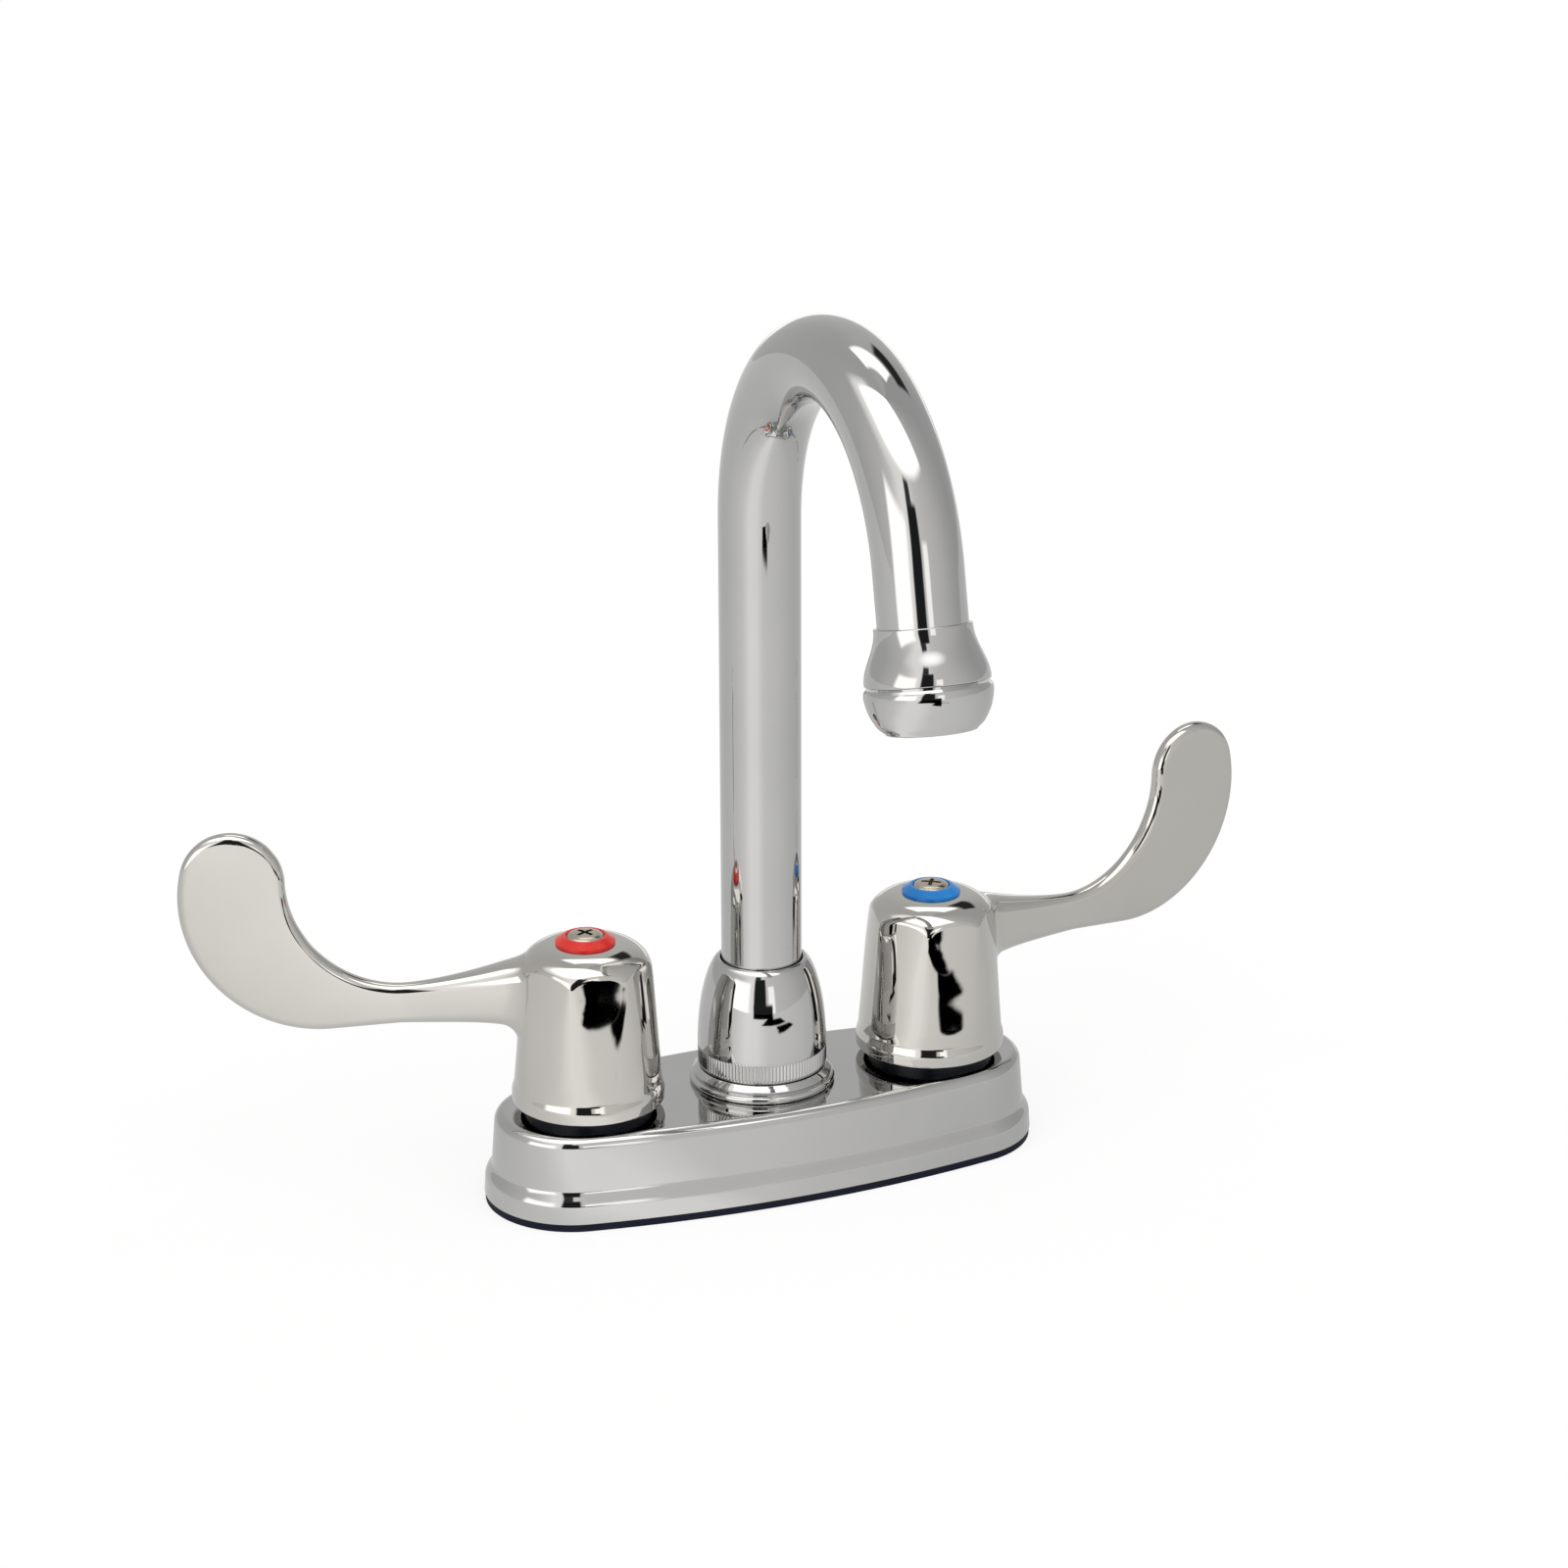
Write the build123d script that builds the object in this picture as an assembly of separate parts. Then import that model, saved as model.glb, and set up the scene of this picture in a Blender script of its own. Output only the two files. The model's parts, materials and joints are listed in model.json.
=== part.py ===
from build123d import *
import os
from math import asin, atan2, cos, degrees, radians, sin, sqrt, tan

# Two-handle bar faucet with a gooseneck spout and wrist blades.
# Millimetres. Z is up, the sink deck is the plane z = 0, the user stands at -Y, the cold side is +X.

# Clearances
run_clear = 0.05          # radial gap of a turning fit
fixed_clear = 0.05        # radial gap between pieces that are screwed or soldered together
free_clear = 0.35         # gap between pieces that turn past each other
pass_clear = 0.3          # radial gap where a piece only passes through a hole
seat_gap = 0.2            # end gap under a piece that must stay free to turn

# Mounting
centres = 101.6           # between the two inlets, four inches
shank_r = 10.4            # major radius of the half inch straight pipe thread
shank_bore_r = 6.0
shank_len = 52.0          # below the sink deck
shank_chamfer = 1.2
relief_drop = 24.0        # from the sink deck down to the relief between the two threads of a shank
relief_width = 2.0
relief_depth = 0.9
spigot_step = 1.4         # how much thinner the soldered end of a shank is
spigot_len = 5.0
sink_deck_t = 12.0        # thickness of the sink deck that the nuts are shown clamping
washer_r = 19.0
washer_t = 2.0
lock_nut_t = 8.0
lock_nut_flats = 32.0
nut_chamfer = 1.2

# Base plate
gasket_t = 2.0
gasket_inset = 0.25
plate_len = 160.0
plate_width = 60.1
bow_r = 332.6             # front and back edges in plan
plate_height = 23.4
plate_wall = 2.3
band_height = 4.2         # lower band of the side
band_lean = 0.3
step_height = 9.0         # where the curved step ends and the upper wall begins
step_in = 2.25
wall_in = 3.2             # inset of the upper wall where the top rounding begins
top_round = 3.1

# Brass body under the plate
well_r = 14.0
well_step = 0.4           # the neck that passes through the plate is this much thinner
well_wall = 2.6
well_floor_t = 2.0
bridge_width = 15.0
bridge_height = 10.6
bridge_drop = 0.5         # below the plate's inner face
passage_r = 3.5
post_foot_w = 2.9         # the post is this much thicker under the plate
post_wall = 3.1
post_rise = 21.6          # above the plate
post_bore_depth = 16.5
post_ledge = 3.5          # ledge at the bottom of the post's bore
post_sump = 1.0           # depth of the post's water way below the bridge's passage

# Spout
tube_r = 11.0
tube_wall = 1.2
arch_r = 51.7
riser_top = 160.0         # height of the arch's centre above the plate
arch_deg = 166.8
outlet_straight = 13.2    # straight tube that shows after the arch
socket_depth = 4.4        # how far the tube enters the outlet collar
ferrule_wall = 1.6
barrel_step = 0.45        # the ferrule's barrel stands this much proud of the tube
ferrule_shoulder_t = 1.8
solder_len = 8.0
split_ring_t = 1.8
split_ring_margin = 1.0   # ring smaller than the post, all round
split_ring_gap = 3.0
groove_depth = 1.25       # of the ring's groove in the ferrule
o_ring_wire_r = 0.95
o_ring_rise = (4.0, 10.5)     # of the two seals above the ferrule's low end
thrust_washer_t = 1.2

# Flange and bell nut
flange_r = 20.1
flange_height = 4.8
flange_step_r = 18.3
bead_height = 2.2
nut_r = 17.8
nut_height = 31.1
nut_lip_r = 11.9
knurl_rise = 0.6
knurl_height = 5.2
knurl_depth = 0.45
knurl_count = 112
nut_bulge = 0.6           # fullness of the bell
nut_power = 1.9

# Outlet, as distances along its own axis
outlet_collar_t = 0.9
flare_r = 15.25
flare_len = 13.7
flare_rate = 0.93         # below 1, the flare's curve begins lower
cap_wall = 3.6            # at the thread
outlet_spigot_len = 4.6
tube_stop = 0.4           # ledge inside the tube's wall
cap_r = 15.6
cap_gap = 0.6             # dark groove between flare and cap
cap_len = 11.3
cap_ledge = 2.4           # inward ledge that holds the insert
cap_lip = 0.9             # width of the flat face round the mouth
cap_bulge = 0.75
outlet_seal_t = 1.5
insert_flange_t = 1.2
insert_recess = 0.8
channel_r = 0.85
screen_t = 0.6
screen_hole_r = 0.55
screen_pitch = 1.7
key_hole_r = 0.8
key_hole_depth = 2.0
key_hole_from_end = 5.4
key_hole_deg = 176.0      # around the outlet axis, from the +X side

# Handle hub, heights above its rim
rim_gap = 0.2             # rim above the lock collar
rim_r = 20.8
rim_lip = 2.5
rim_blend = 3.4           # from the lip up to the tapered wall
wall_low_r = 20.1
wall_high_r = 18.0
wall_high = 36.5
hub_height = 44.8
hub_flat_r = 8.4
hub_bulge = 0.6           # fullness of the dome
hub_panels = 7            # one faces the arm, so a ridge stands opposite it
panel_half_deg = 23.0
panel_low = 4.9
panel_scoop = 1.2
casting_t = 2.1           # wall of the hollow hub at its corners
crown_t = 9.3
boss_wall = 3.2
boss_len = 17.0
spline_r = 5.0
spline_depth = 0.5
spline_teeth = 16
cap_wall_t = 2.3          # between the stem's end and the screw's seat

# Handle arm and blade, in the upright plane through the hub axis, heights above the rim
blade_t = 5.0
blade_round = 2.2         # radius of the blade's long edges
blade_reach = 107.4
blade_top = 77.1
blade_low = 21.1
tip_r = 14.0
outer_r = 36.6
arm_top = 33.7            # at the narrowest place
arm_low = 22.7
arm_round = 0.45          # corner radius as a share of the arm's thickness
root_x = 17.6             # where the arm leaves the hub
root_top = 40.8
root_low = 20.9
root_t = 14.2
root_flare = (4.6, 2.6, 1.7, 4.8)     # inward, down, up and wider, inside the hub
arm_shares = (0.14, 0.42, 0.73)
arm_powers = (6, 1.5, 1.6)            # how fast low edge, top and thickness near their end values
blade_lap = 1.0           # how far the blade runs into the arm
arm_end_grow = 0.06       # the arm's end stands this much proud of the blade all round
hot_rest_deg = 160.0      # direction of each blade in plan when it is closed
cold_rest_deg = 12.0

# Valve pieces
collar_width = 3.9
collar_t = 2.6
collar_round = 0.8
valve_seal_t = 2.0
disc_t = 3.0
cartridge_wall = 1.95
port_r = 6.2
port_land = 1.0           # half width of the land between the two ports
hex_flats = 24.0
hex_t = 5.0
neck_wall = 3.0
neck_len = 9.0
window_width = 8.0
stem_r = 4.0
foot_margin = 1.3         # foot of the stem smaller than the discs
foot_t = 3.2
tang_width = 4.0
tang_len = 12.0
tang_depth = 1.0
clip_t = 0.9
clip_width = 3.1
clip_groove_depth = 0.9
stem_ring_wire_r = 0.7
stem_ring_drop = 4.5      # below the top of the neck
spline_rise = 4.0         # above the top of the neck

# Screw and index ring
screw_r = 2.5
screw_len = 16.8
head_r = 5.1
head_side = 3.7
head_height = 4.9
cross_len = 5.4
cross_width = 1.1
cross_depth = 1.8
ring_wall = 1.8
ring_recess_depth = 2.0
ring_flange_w = 1.2
ring_flange_t = 0.7
ring_height = 2.1
ring_top_w = 0.8

# Levels and places that follow from the sizes above
half_centres = centres / 2
spigot_r = shank_r - spigot_step
barrel_r = tube_r + barrel_step
ferrule_bore_r = tube_r - tube_wall - ferrule_wall
post_bore_r = barrel_r + run_clear
post_r = post_bore_r + post_wall
post_boss_r = post_r + post_foot_w
post_passage_r = post_bore_r - post_ledge
nut_bore_r = post_r + fixed_clear
split_ring_r = post_r - split_ring_margin
collar_r = tube_r + outlet_collar_t
outlet_bore_r = tube_r - tube_wall - tube_stop
outlet_spigot_r = cap_r - cap_wall
cap_mouth_r = outlet_spigot_r - cap_ledge
well_neck_r = well_r - well_step
well_bore_r = well_neck_r - well_wall
collar_out_r = well_neck_r + collar_width
disc_r = well_bore_r - fixed_clear - cartridge_wall - fixed_clear
foot_r = disc_r - foot_margin
neck_r = stem_r + neck_wall
clip_groove_r = stem_r - clip_groove_depth
boss_r = spline_r + boss_wall
ring_recess_r = head_r + ring_wall
ring_flange_r = ring_recess_r + ring_flange_w
plate_top = gasket_t + plate_height
plate_under = plate_top - plate_wall
socket_top = gasket_t + spigot_len
well_floor = socket_top + well_floor_t
well_top = plate_top + collar_t
fixed_disc_low = well_floor + valve_seal_t
moving_disc_low = fixed_disc_low + disc_t
moving_disc_top = moving_disc_low + disc_t
foot_top = moving_disc_top + foot_t
hex_top = well_top + hex_t
neck_top = hex_top + neck_len
bridge_mid = plate_under - bridge_drop - bridge_height / 2
post_passage_low = bridge_mid - passage_r - post_sump
post_top = plate_top + post_rise
post_bore_low = post_top - post_bore_depth
ferrule_low = post_bore_low + seat_gap
groove_low = post_top + seat_gap
groove_high = groove_low + split_ring_t + seat_gap
groove_r = barrel_r - groove_depth
tube_low = groove_high + ferrule_shoulder_t
nut_shoulder = groove_high + thrust_washer_t
flange_top = plate_top + flange_height
nut_low = flange_top + seat_gap
nut_top = nut_low + nut_height
knurl_low = nut_low + knurl_rise
knurl_high = knurl_low + knurl_height
arch_z = plate_top + riser_top
tube_end = outlet_straight + socket_depth
flare_end = outlet_straight + flare_len
outlet_spigot_end = flare_end + outlet_spigot_len
insert_low = outlet_spigot_end + outlet_seal_t
cap_low = flare_end + cap_gap
cap_end = cap_low + cap_len
rim_low = well_top + rim_gap
hub_top = rim_low + hub_height
screw_seat = hub_top - ring_recess_depth
stem_top = screw_seat - cap_wall_t
cavity_top = hub_top - crown_t
sides = (-half_centres, half_centres)


def rod(radius, low, high):
    return Pos(0, 0, low) * extrude(Circle(radius), high - low)


def tube(inner_r, outer_r, low, high):
    return Pos(0, 0, low) * extrude(Circle(outer_r) - Circle(inner_r), high - low)


def lathe(*lines):
    """Turn a closed outline, drawn as (radius, height), about Z."""
    return revolve(Plane.XZ * make_face(Curve() + list(lines)), Axis.Z)


def crown(low_r, high_r, low, high, bulge, power=2.0, count=6):
    """Points of a bell curve up from (low_r, low): the share of the radius left is (1 - t^power)^bulge."""
    points = []
    for k in range(count + 1):
        t = sin(radians(90 * k / count))
        points.append((high_r + (low_r - high_r) * max(1 - t**power, 0)**bulge, low + (high - low) * t))
    return points


def outline(inset):
    """Plan of the plate: two bowed sides and two round ends, all tangent, as a counterclockwise wire."""
    half_len = plate_len / 2
    drop = bow_r - plate_width / 2
    end_r = (bow_r**2 - half_len**2 - drop**2) / (2 * (bow_r - half_len))
    end_x = half_len - end_r
    lean = degrees(atan2(end_x, drop))
    turn = 180 - 2 * lean
    return Wire([
        CenterArc((end_x, 0), end_r - inset, lean - 90, turn).edge(),
        CenterArc((0, -drop), bow_r - inset, 90 - lean, 2 * lean).edge(),
        CenterArc((-end_x, 0), end_r - inset, 90 + lean, turn).edge(),
        CenterArc((0, drop), bow_r - inset, 270 - lean, 2 * lean).edge()])


def plate_slab(inset, low, high):
    return Pos(0, 0, low) * extrude(make_face(outline(inset)), high - low)


def deck_plate():
    """Side wall swept round the plan, a flat top and three holes."""
    path = Pos(0, 0, gasket_t) * outline(0)
    start = Plane(origin=path @ 0, x_dir=Vector(0, 0, 1).cross(path % 0), z_dir=path % 0)
    rim_in = wall_in + top_round
    inner_in = rim_in + plate_wall
    wall_top = plate_height - top_round
    under = plate_height - plate_wall
    side = [
        Line((0, 0), (band_lean, band_height)),
        Spline((band_lean, band_height), (step_in, step_height), tangents=((0.08, 1), (0.09, 1)),
               tangent_scalars=(1.2, 1.2)),
        Line((step_in, step_height), (wall_in, wall_top)),
        RadiusArc((wall_in, wall_top), (rim_in, plate_height), top_round),
        Polyline((rim_in, plate_height), (inner_in, plate_height), (inner_in, under),
                 (wall_in + plate_wall, under), (step_in + plate_wall, step_height),
                 (plate_wall, band_height), (plate_wall, 0), (0, 0))]
    shell = sweep(start * make_face(Curve() + side), path=path)
    shell += plate_slab(rim_in + plate_wall / 2, plate_under, plate_top)
    shell -= rod(post_r + pass_clear, gasket_t, plate_top)
    return shell - [Pos(x, 0) * rod(well_neck_r + pass_clear, gasket_t, plate_top) for x in sides]


def base_gasket():
    hole = rod(shank_r + pass_clear, 0, gasket_t)
    return plate_slab(gasket_inset, 0, gasket_t) - [Pos(x, 0) * hole for x in sides]


def waterway_body():
    """Two valve wells and the spout post, joined by the bridge with its water passage."""
    body = rod(post_boss_r, gasket_t, plate_under) + rod(post_r, plate_under, post_top)
    body += Pos(0, 0, bridge_mid) * Box(centres, bridge_width, bridge_height)
    well = rod(well_r, gasket_t, plate_under) + rod(well_neck_r, plate_under, well_top)
    body += [Pos(x, 0) * well for x in sides]
    body -= rod(post_bore_r, post_bore_low, post_top)
    body -= rod(post_passage_r, post_passage_low, post_bore_low)
    body -= Pos(0, 0, bridge_mid) * Rot(0, 90, 0) * Cylinder(passage_r, centres)
    bore = rod(well_bore_r, well_floor, well_top) + rod(shank_bore_r, gasket_t, well_floor)
    bore += rod(spigot_r + fixed_clear, gasket_t, socket_top)
    return body - [Pos(x, 0) * bore for x in sides]


def supply_shank():
    """Hollow shank: the upper thread carries the lock nut, the lower one the supply coupling."""
    shank = rod(shank_r, -shank_len, gasket_t)
    shank = chamfer(shank.edges().group_by(Axis.Z)[0], shank_chamfer)
    shank += rod(spigot_r, gasket_t, socket_top)
    shank -= tube(shank_r - relief_depth, 2 * shank_r, -relief_drop - relief_width, -relief_drop)
    return shank - rod(shank_bore_r, -shank_len, socket_top)


def hex_nut(flats, bore_r, low, high):
    nut = Pos(0, 0, low) * extrude(RegularPolygon(flats / 2, 6, major_radius=False), high - low)
    rounder = chamfer(rod(flats / sqrt(3), low, high).edges(), nut_chamfer)
    return (nut & rounder) - rod(bore_r, low, high)


def mounting_washers():
    ring = tube(shank_r + pass_clear, washer_r, -sink_deck_t - washer_t, -sink_deck_t)
    return [Pos(x, 0) * ring for x in sides]


def mounting_nuts():
    high = -sink_deck_t - washer_t
    nut = hex_nut(lock_nut_flats, shank_r + fixed_clear, high - lock_nut_t, high)
    return [Pos(x, 0) * nut for x in sides]


def spout_flange():
    """Stepped ring: a round bead on the plate, a groove and a sloping upper step."""
    inner = post_r + pass_clear
    bead_r = bead_height / 2
    bead_x = flange_r - bead_r
    bead_top = plate_top + bead_height
    step_r = (flange_step_r + flange_r) / 2
    return lathe(
        Polyline((bead_x, plate_top), (inner, plate_top), (inner, flange_top),
                 (flange_step_r - bead_r / 2, flange_top), (flange_step_r, flange_top - bead_r / 2),
                 (step_r, bead_top + bead_r), (step_r, bead_top), (bead_x, bead_top)),
        ThreePointArc((bead_x, bead_top), (flange_r, plate_top + bead_r), (bead_x, plate_top)))


def knurled_band(root_r, crest_r, low, high):
    points = []
    for k in range(2 * knurl_count):
        radius = crest_r if k % 2 else root_r
        turn = radians(180 * k / knurl_count)
        points.append((radius * cos(turn), radius * sin(turn)))
    return Pos(0, 0, low) * extrude(make_face(Polyline(*points, close=True)), high - low)


def spout_nut():
    root = nut_r - knurl_depth / 2
    neck = tube_r + free_clear
    lip = knurl_depth
    bell = crown(nut_r, nut_lip_r, knurl_high + lip, nut_top, nut_bulge, nut_power, 8)
    nut = lathe(
        Polyline((neck, nut_low), (root - lip, nut_low), (root, nut_low + lip), (root, knurl_high), bell[0]),
        Spline(*bell, tangents=((0, 1), (-1, 0.2))),
        Polyline(bell[-1], (neck, nut_top - lip / 2), (neck, nut_low)))
    nut += knurled_band(root - lip / 4, nut_r + knurl_depth / 2, knurl_low, knurl_high)
    return nut - rod(nut_bore_r, nut_low, nut_shoulder) - rod(neck, nut_shoulder, nut_top)


def spout_thrust_washer():
    return tube(tube_r + free_clear, nut_bore_r - pass_clear, groove_high, nut_shoulder)


def outlet_end():
    """End of the arch, as (y, z)."""
    turn = radians(arch_deg)
    return -arch_r * (1 - cos(turn)), arch_z + arch_r * sin(turn)


def spout_tube():
    """Riser, arch towards the user and the straight outlet, in the plane x = 0."""
    turn = radians(arch_deg)
    top = (-arch_r * (1 - cos(turn / 2)), arch_z + arch_r * sin(turn / 2))
    y, z = outlet_end()
    out = (y - tube_end * sin(turn), z + tube_end * cos(turn))
    path = Line((0, tube_low), (0, arch_z)) + ThreePointArc((0, arch_z), top, (y, z)) + Line((y, z), out)
    section = Pos(0, 0, tube_low) * (Circle(tube_r) - Circle(tube_r - tube_wall))
    return sweep(section, path=Plane.YZ * path)


def spout_ferrule():
    ferrule = rod(barrel_r, ferrule_low, groove_low) + rod(groove_r, groove_low, groove_high)
    ferrule += rod(tube_r, groove_high, tube_low)
    ferrule += rod(tube_r - tube_wall - fixed_clear, tube_low, tube_low + solder_len)
    ferrule -= rod(ferrule_bore_r, ferrule_low, tube_low + solder_len)
    seat_r = barrel_r - 2 * o_ring_wire_r
    half = o_ring_wire_r + seat_gap
    seats = [tube(seat_r, post_bore_r, z - half, z + half) for z in o_ring_heights()]
    return ferrule - seats


def o_ring_heights():
    return [ferrule_low + rise for rise in o_ring_rise]


def spout_o_rings():
    seal = Torus(barrel_r - o_ring_wire_r, o_ring_wire_r)
    return [Pos(0, 0, z) * seal for z in o_ring_heights()]


def split_ring(inner_r, outer_r, low, thick, gap):
    ring = tube(inner_r, outer_r, low, low + thick)
    return ring - Pos(outer_r, 0, low + thick / 2) * Box(2 * outer_r, gap, 2 * thick)


def spout_retaining_ring():
    low = groove_low + seat_gap / 2
    return split_ring(groove_r + fixed_clear, split_ring_r, low, split_ring_t, split_ring_gap)


def on_outlet(piece):
    """Move a piece drawn along +Z from the origin onto the outlet axis at the end of the arch."""
    turn = radians(arch_deg)
    y, z = outlet_end()
    return Plane(origin=(0, y, z), x_dir=(1, 0, 0), z_dir=(0, -sin(turn), cos(turn))) * piece


def aerator_adapter():
    """Collar on the tube, flaring out to the cap, with the spigot for the cap's thread inside."""
    bore = tube_r + fixed_clear
    edge = (flare_r - collar_r) / 8
    flare = []
    for k in range(6):
        t = k / 5
        flare.append((collar_r + (flare_r - collar_r) * t * t * (3 - 2 * t),
                      outlet_straight + edge + (flare_len - 3 * edge) * t**flare_rate))
    return on_outlet(lathe(
        Polyline((bore, outlet_straight), (collar_r - edge, outlet_straight), flare[0]),
        Spline(*flare, tangents=((0.1, 1), (0, 1))),
        Polyline(flare[-1], (flare_r - edge, flare_end), (outlet_spigot_r, flare_end),
                 (outlet_spigot_r, outlet_spigot_end), (outlet_bore_r, outlet_spigot_end),
                 (outlet_bore_r, tube_end), (bore, tube_end), (bore, outlet_straight))))


def aerator_cap():
    bore = outlet_spigot_r + fixed_clear
    seat = insert_low + insert_flange_t
    edge = cap_gap
    lip_r = cap_mouth_r + cap_lip
    curve = crown(cap_r, lip_r, cap_low + 2 * edge, cap_end, cap_bulge)
    cap = lathe(
        Polyline((bore, cap_low), (cap_r - edge, cap_low), (cap_r - edge / 4, cap_low + edge)),
        Spline((cap_r - edge / 4, cap_low + edge), *curve, tangents=((0.4, 1), (-1, 0.3))),
        Polyline(curve[-1], (cap_mouth_r, cap_end), (cap_mouth_r, seat), (bore, seat), (bore, cap_low)))
    hole = Rot(0, 90, 0) * Pos(0, 0, cap_r) * Cylinder(key_hole_r, 2 * key_hole_depth)
    return on_outlet(cap - Pos(0, 0, cap_end - key_hole_from_end) * Rot(0, 0, key_hole_deg) * hole)


def aerator_washer():
    ring = tube(outlet_bore_r - pass_clear, outlet_spigot_r - fixed_clear, outlet_spigot_end, insert_low)
    return on_outlet(ring)


def aerator_screen():
    radius = outlet_bore_r - pass_clear - fixed_clear
    disc = rod(radius, insert_low - screen_t, insert_low)
    count = 2 * int(radius / screen_pitch) + 1
    holes = [Pos(0, 0, insert_low) * loc * Cylinder(screen_hole_r, 3 * screen_t)
             for loc in GridLocations(screen_pitch, screen_pitch, count, count)
             if Vector(loc.position).length < radius - 2 * screen_hole_r]
    return on_outlet(disc - holes)


def aerator_insert():
    """Flow straightener: a flanged plug with rings of round channels."""
    body = rod(outlet_spigot_r - fixed_clear, insert_low, insert_low + insert_flange_t)
    body_r = cap_mouth_r - pass_clear / 2
    body += rod(body_r, insert_low, cap_end - insert_recess)
    pitch = (body_r - 2 * channel_r) / 3
    channels = [rod(channel_r, insert_low, cap_end)]
    for ring in (1, 2, 3):
        channels += [loc * channels[0] for loc in PolarLocations(ring * pitch, 6 * ring)]
    return on_outlet(body - channels)


def blade():
    """Flat paddle: quarter arc inside, round tip, large arc outside and a straight lower edge.

    Returns it with the place where the arm meets it and the low edge there, heights above the rim.
    """
    tip_x, tip_z = blade_reach - tip_r, blade_top - tip_r
    inner_r = tip_z - arm_top
    root = tip_x - tip_r - inner_r
    outer_z = blade_low + outer_r
    outer_x = tip_x - sqrt((outer_r - tip_r)**2 - (tip_z - outer_z)**2)
    meet = degrees(atan2(tip_z - outer_z, tip_x - outer_x))
    start = root - blade_lap
    dx, dz = outer_x - start, outer_z - arm_low
    span = sqrt(dx**2 + dz**2)
    edge = atan2(dz, dx) - asin(outer_r / span)
    run = sqrt(span**2 - outer_r**2)
    lines = Curve() + [
        Line((start, arm_low), (start + run * cos(edge), arm_low + run * sin(edge))),
        CenterArc((outer_x, outer_z), outer_r, degrees(edge) - 90, meet + 90 - degrees(edge)),
        CenterArc((tip_x, tip_z), tip_r, meet, 180 - meet),
        CenterArc((root, tip_z), inner_r, 0, -90),
        Polyline((root, arm_top), (start, arm_top), (start, arm_low))]
    paddle = extrude(Plane.XZ * make_face(lines), blade_t / 2, both=True)
    rims = [e for e in paddle.edges()
            if abs(abs(e.center().Y) - blade_t / 2) < 0.01 and e.center().X > start + 0.1]
    return fillet(rims, blade_round), root, arm_low + blade_lap * tan(edge)


def arm_section(x, low, high, thick, corner):
    plane = Plane(origin=(x, 0, (low + high) / 2), x_dir=(0, 1, 0), z_dir=(1, 0, 0))
    return plane * RectangleRounded(thick, high - low, corner)


def arm(end_x, end_low):
    """Loft from a flared root inside the hub to the blade; each size nears its end value at its own rate."""
    inward, down, up, wider = root_flare
    low_power, top_power, thick_power = arm_powers
    end_t = blade_t + 2 * arm_end_grow
    sizes = [(root_x - inward, root_low - down, root_top + up, root_t + wider),
             (root_x, root_low, root_top, root_t)]
    for share in arm_shares:
        left = 1 - share
        sizes.append((root_x + (end_x - root_x) * share, end_low - (end_low - root_low) * left**low_power,
                      arm_top + (root_top - arm_top) * left**top_power,
                      end_t + (root_t - end_t) * left**thick_power))
    sections = [arm_section(x, low, high, thick, thick * arm_round) for x, low, high, thick in sizes]
    sections.append(arm_section(end_x, end_low - arm_end_grow, arm_top + arm_end_grow, end_t, blade_round))
    return loft(sections)


def hub():
    """Tapered hub, drawn from its rim up: a round lip, flat panels between round corners and a domed top."""
    lip = rim_lip / 5
    wall_low = rim_lip + rim_blend
    slope = (wall_high_r - wall_low_r) / (wall_high - wall_low)
    dome = crown(wall_high_r, hub_flat_r, wall_high, hub_height, hub_bulge)
    body = lathe(
        Polyline((0, 0), (rim_r - lip, 0), (rim_r, lip), (rim_r, rim_lip)),
        Spline((rim_r, rim_lip), (wall_low_r, wall_low), tangents=((0, 1), (slope, 1))),
        Line((wall_low_r, wall_low), dome[0]),
        Spline(*dome, tangents=((slope, 1), (-1, 0))),
        Polyline(dome[-1], (0, hub_height), (0, 0)))
    share = cos(radians(panel_half_deg))
    low_x = (wall_low_r + slope * (panel_low - wall_low)) * share
    top_x = low_x + slope * share * (hub_height - panel_low)
    far = 2 * rim_r
    profile = make_face(Polyline((low_x, panel_low), (far, panel_low), (far, hub_height), (top_x, hub_height),
                                 close=True))
    cutter = extrude(Plane.XZ * profile, rim_r, both=True)
    corner = cutter.edges().filter_by(Axis.Y).group_by(Axis.Z)[0].sort_by(Axis.X)[0]
    cutter = fillet(corner, panel_scoop)
    return body - [Rot(0, 0, 360 * k / hub_panels) * cutter for k in range(hub_panels)]


def spline_shape(grow):
    points = []
    for k in range(2 * spline_teeth):
        radius = spline_r + grow - (spline_depth if k % 2 else 0)
        turn = radians(180 * k / spline_teeth)
        points.append((radius * cos(turn), radius * sin(turn)))
    return make_face(Polyline(*points, close=True))


def handle():
    """Hub, arm and blade in one casting, hollow from below, with a splined boss for the stem."""
    paddle, end_x, end_low = blade()
    grip = Pos(0, 0, rim_low) * (hub() + arm(end_x, end_low) + paddle)
    mouth_r = wall_low_r - casting_t
    cavity = lathe(Polyline((0, rim_low), (mouth_r, rim_low), (mouth_r, rim_low + rim_lip),
                            (wall_high_r - casting_t, cavity_top), (0, cavity_top), close=True))
    boss_low = cavity_top - boss_len
    grip -= cavity - rod(boss_r, boss_low, cavity_top)
    grip -= Pos(0, 0, boss_low) * extrude(spline_shape(fixed_clear), stem_top + seat_gap - boss_low)
    return grip - rod(screw_r + pass_clear, stem_top, hub_top) - rod(ring_recess_r, screw_seat, hub_top)


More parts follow.
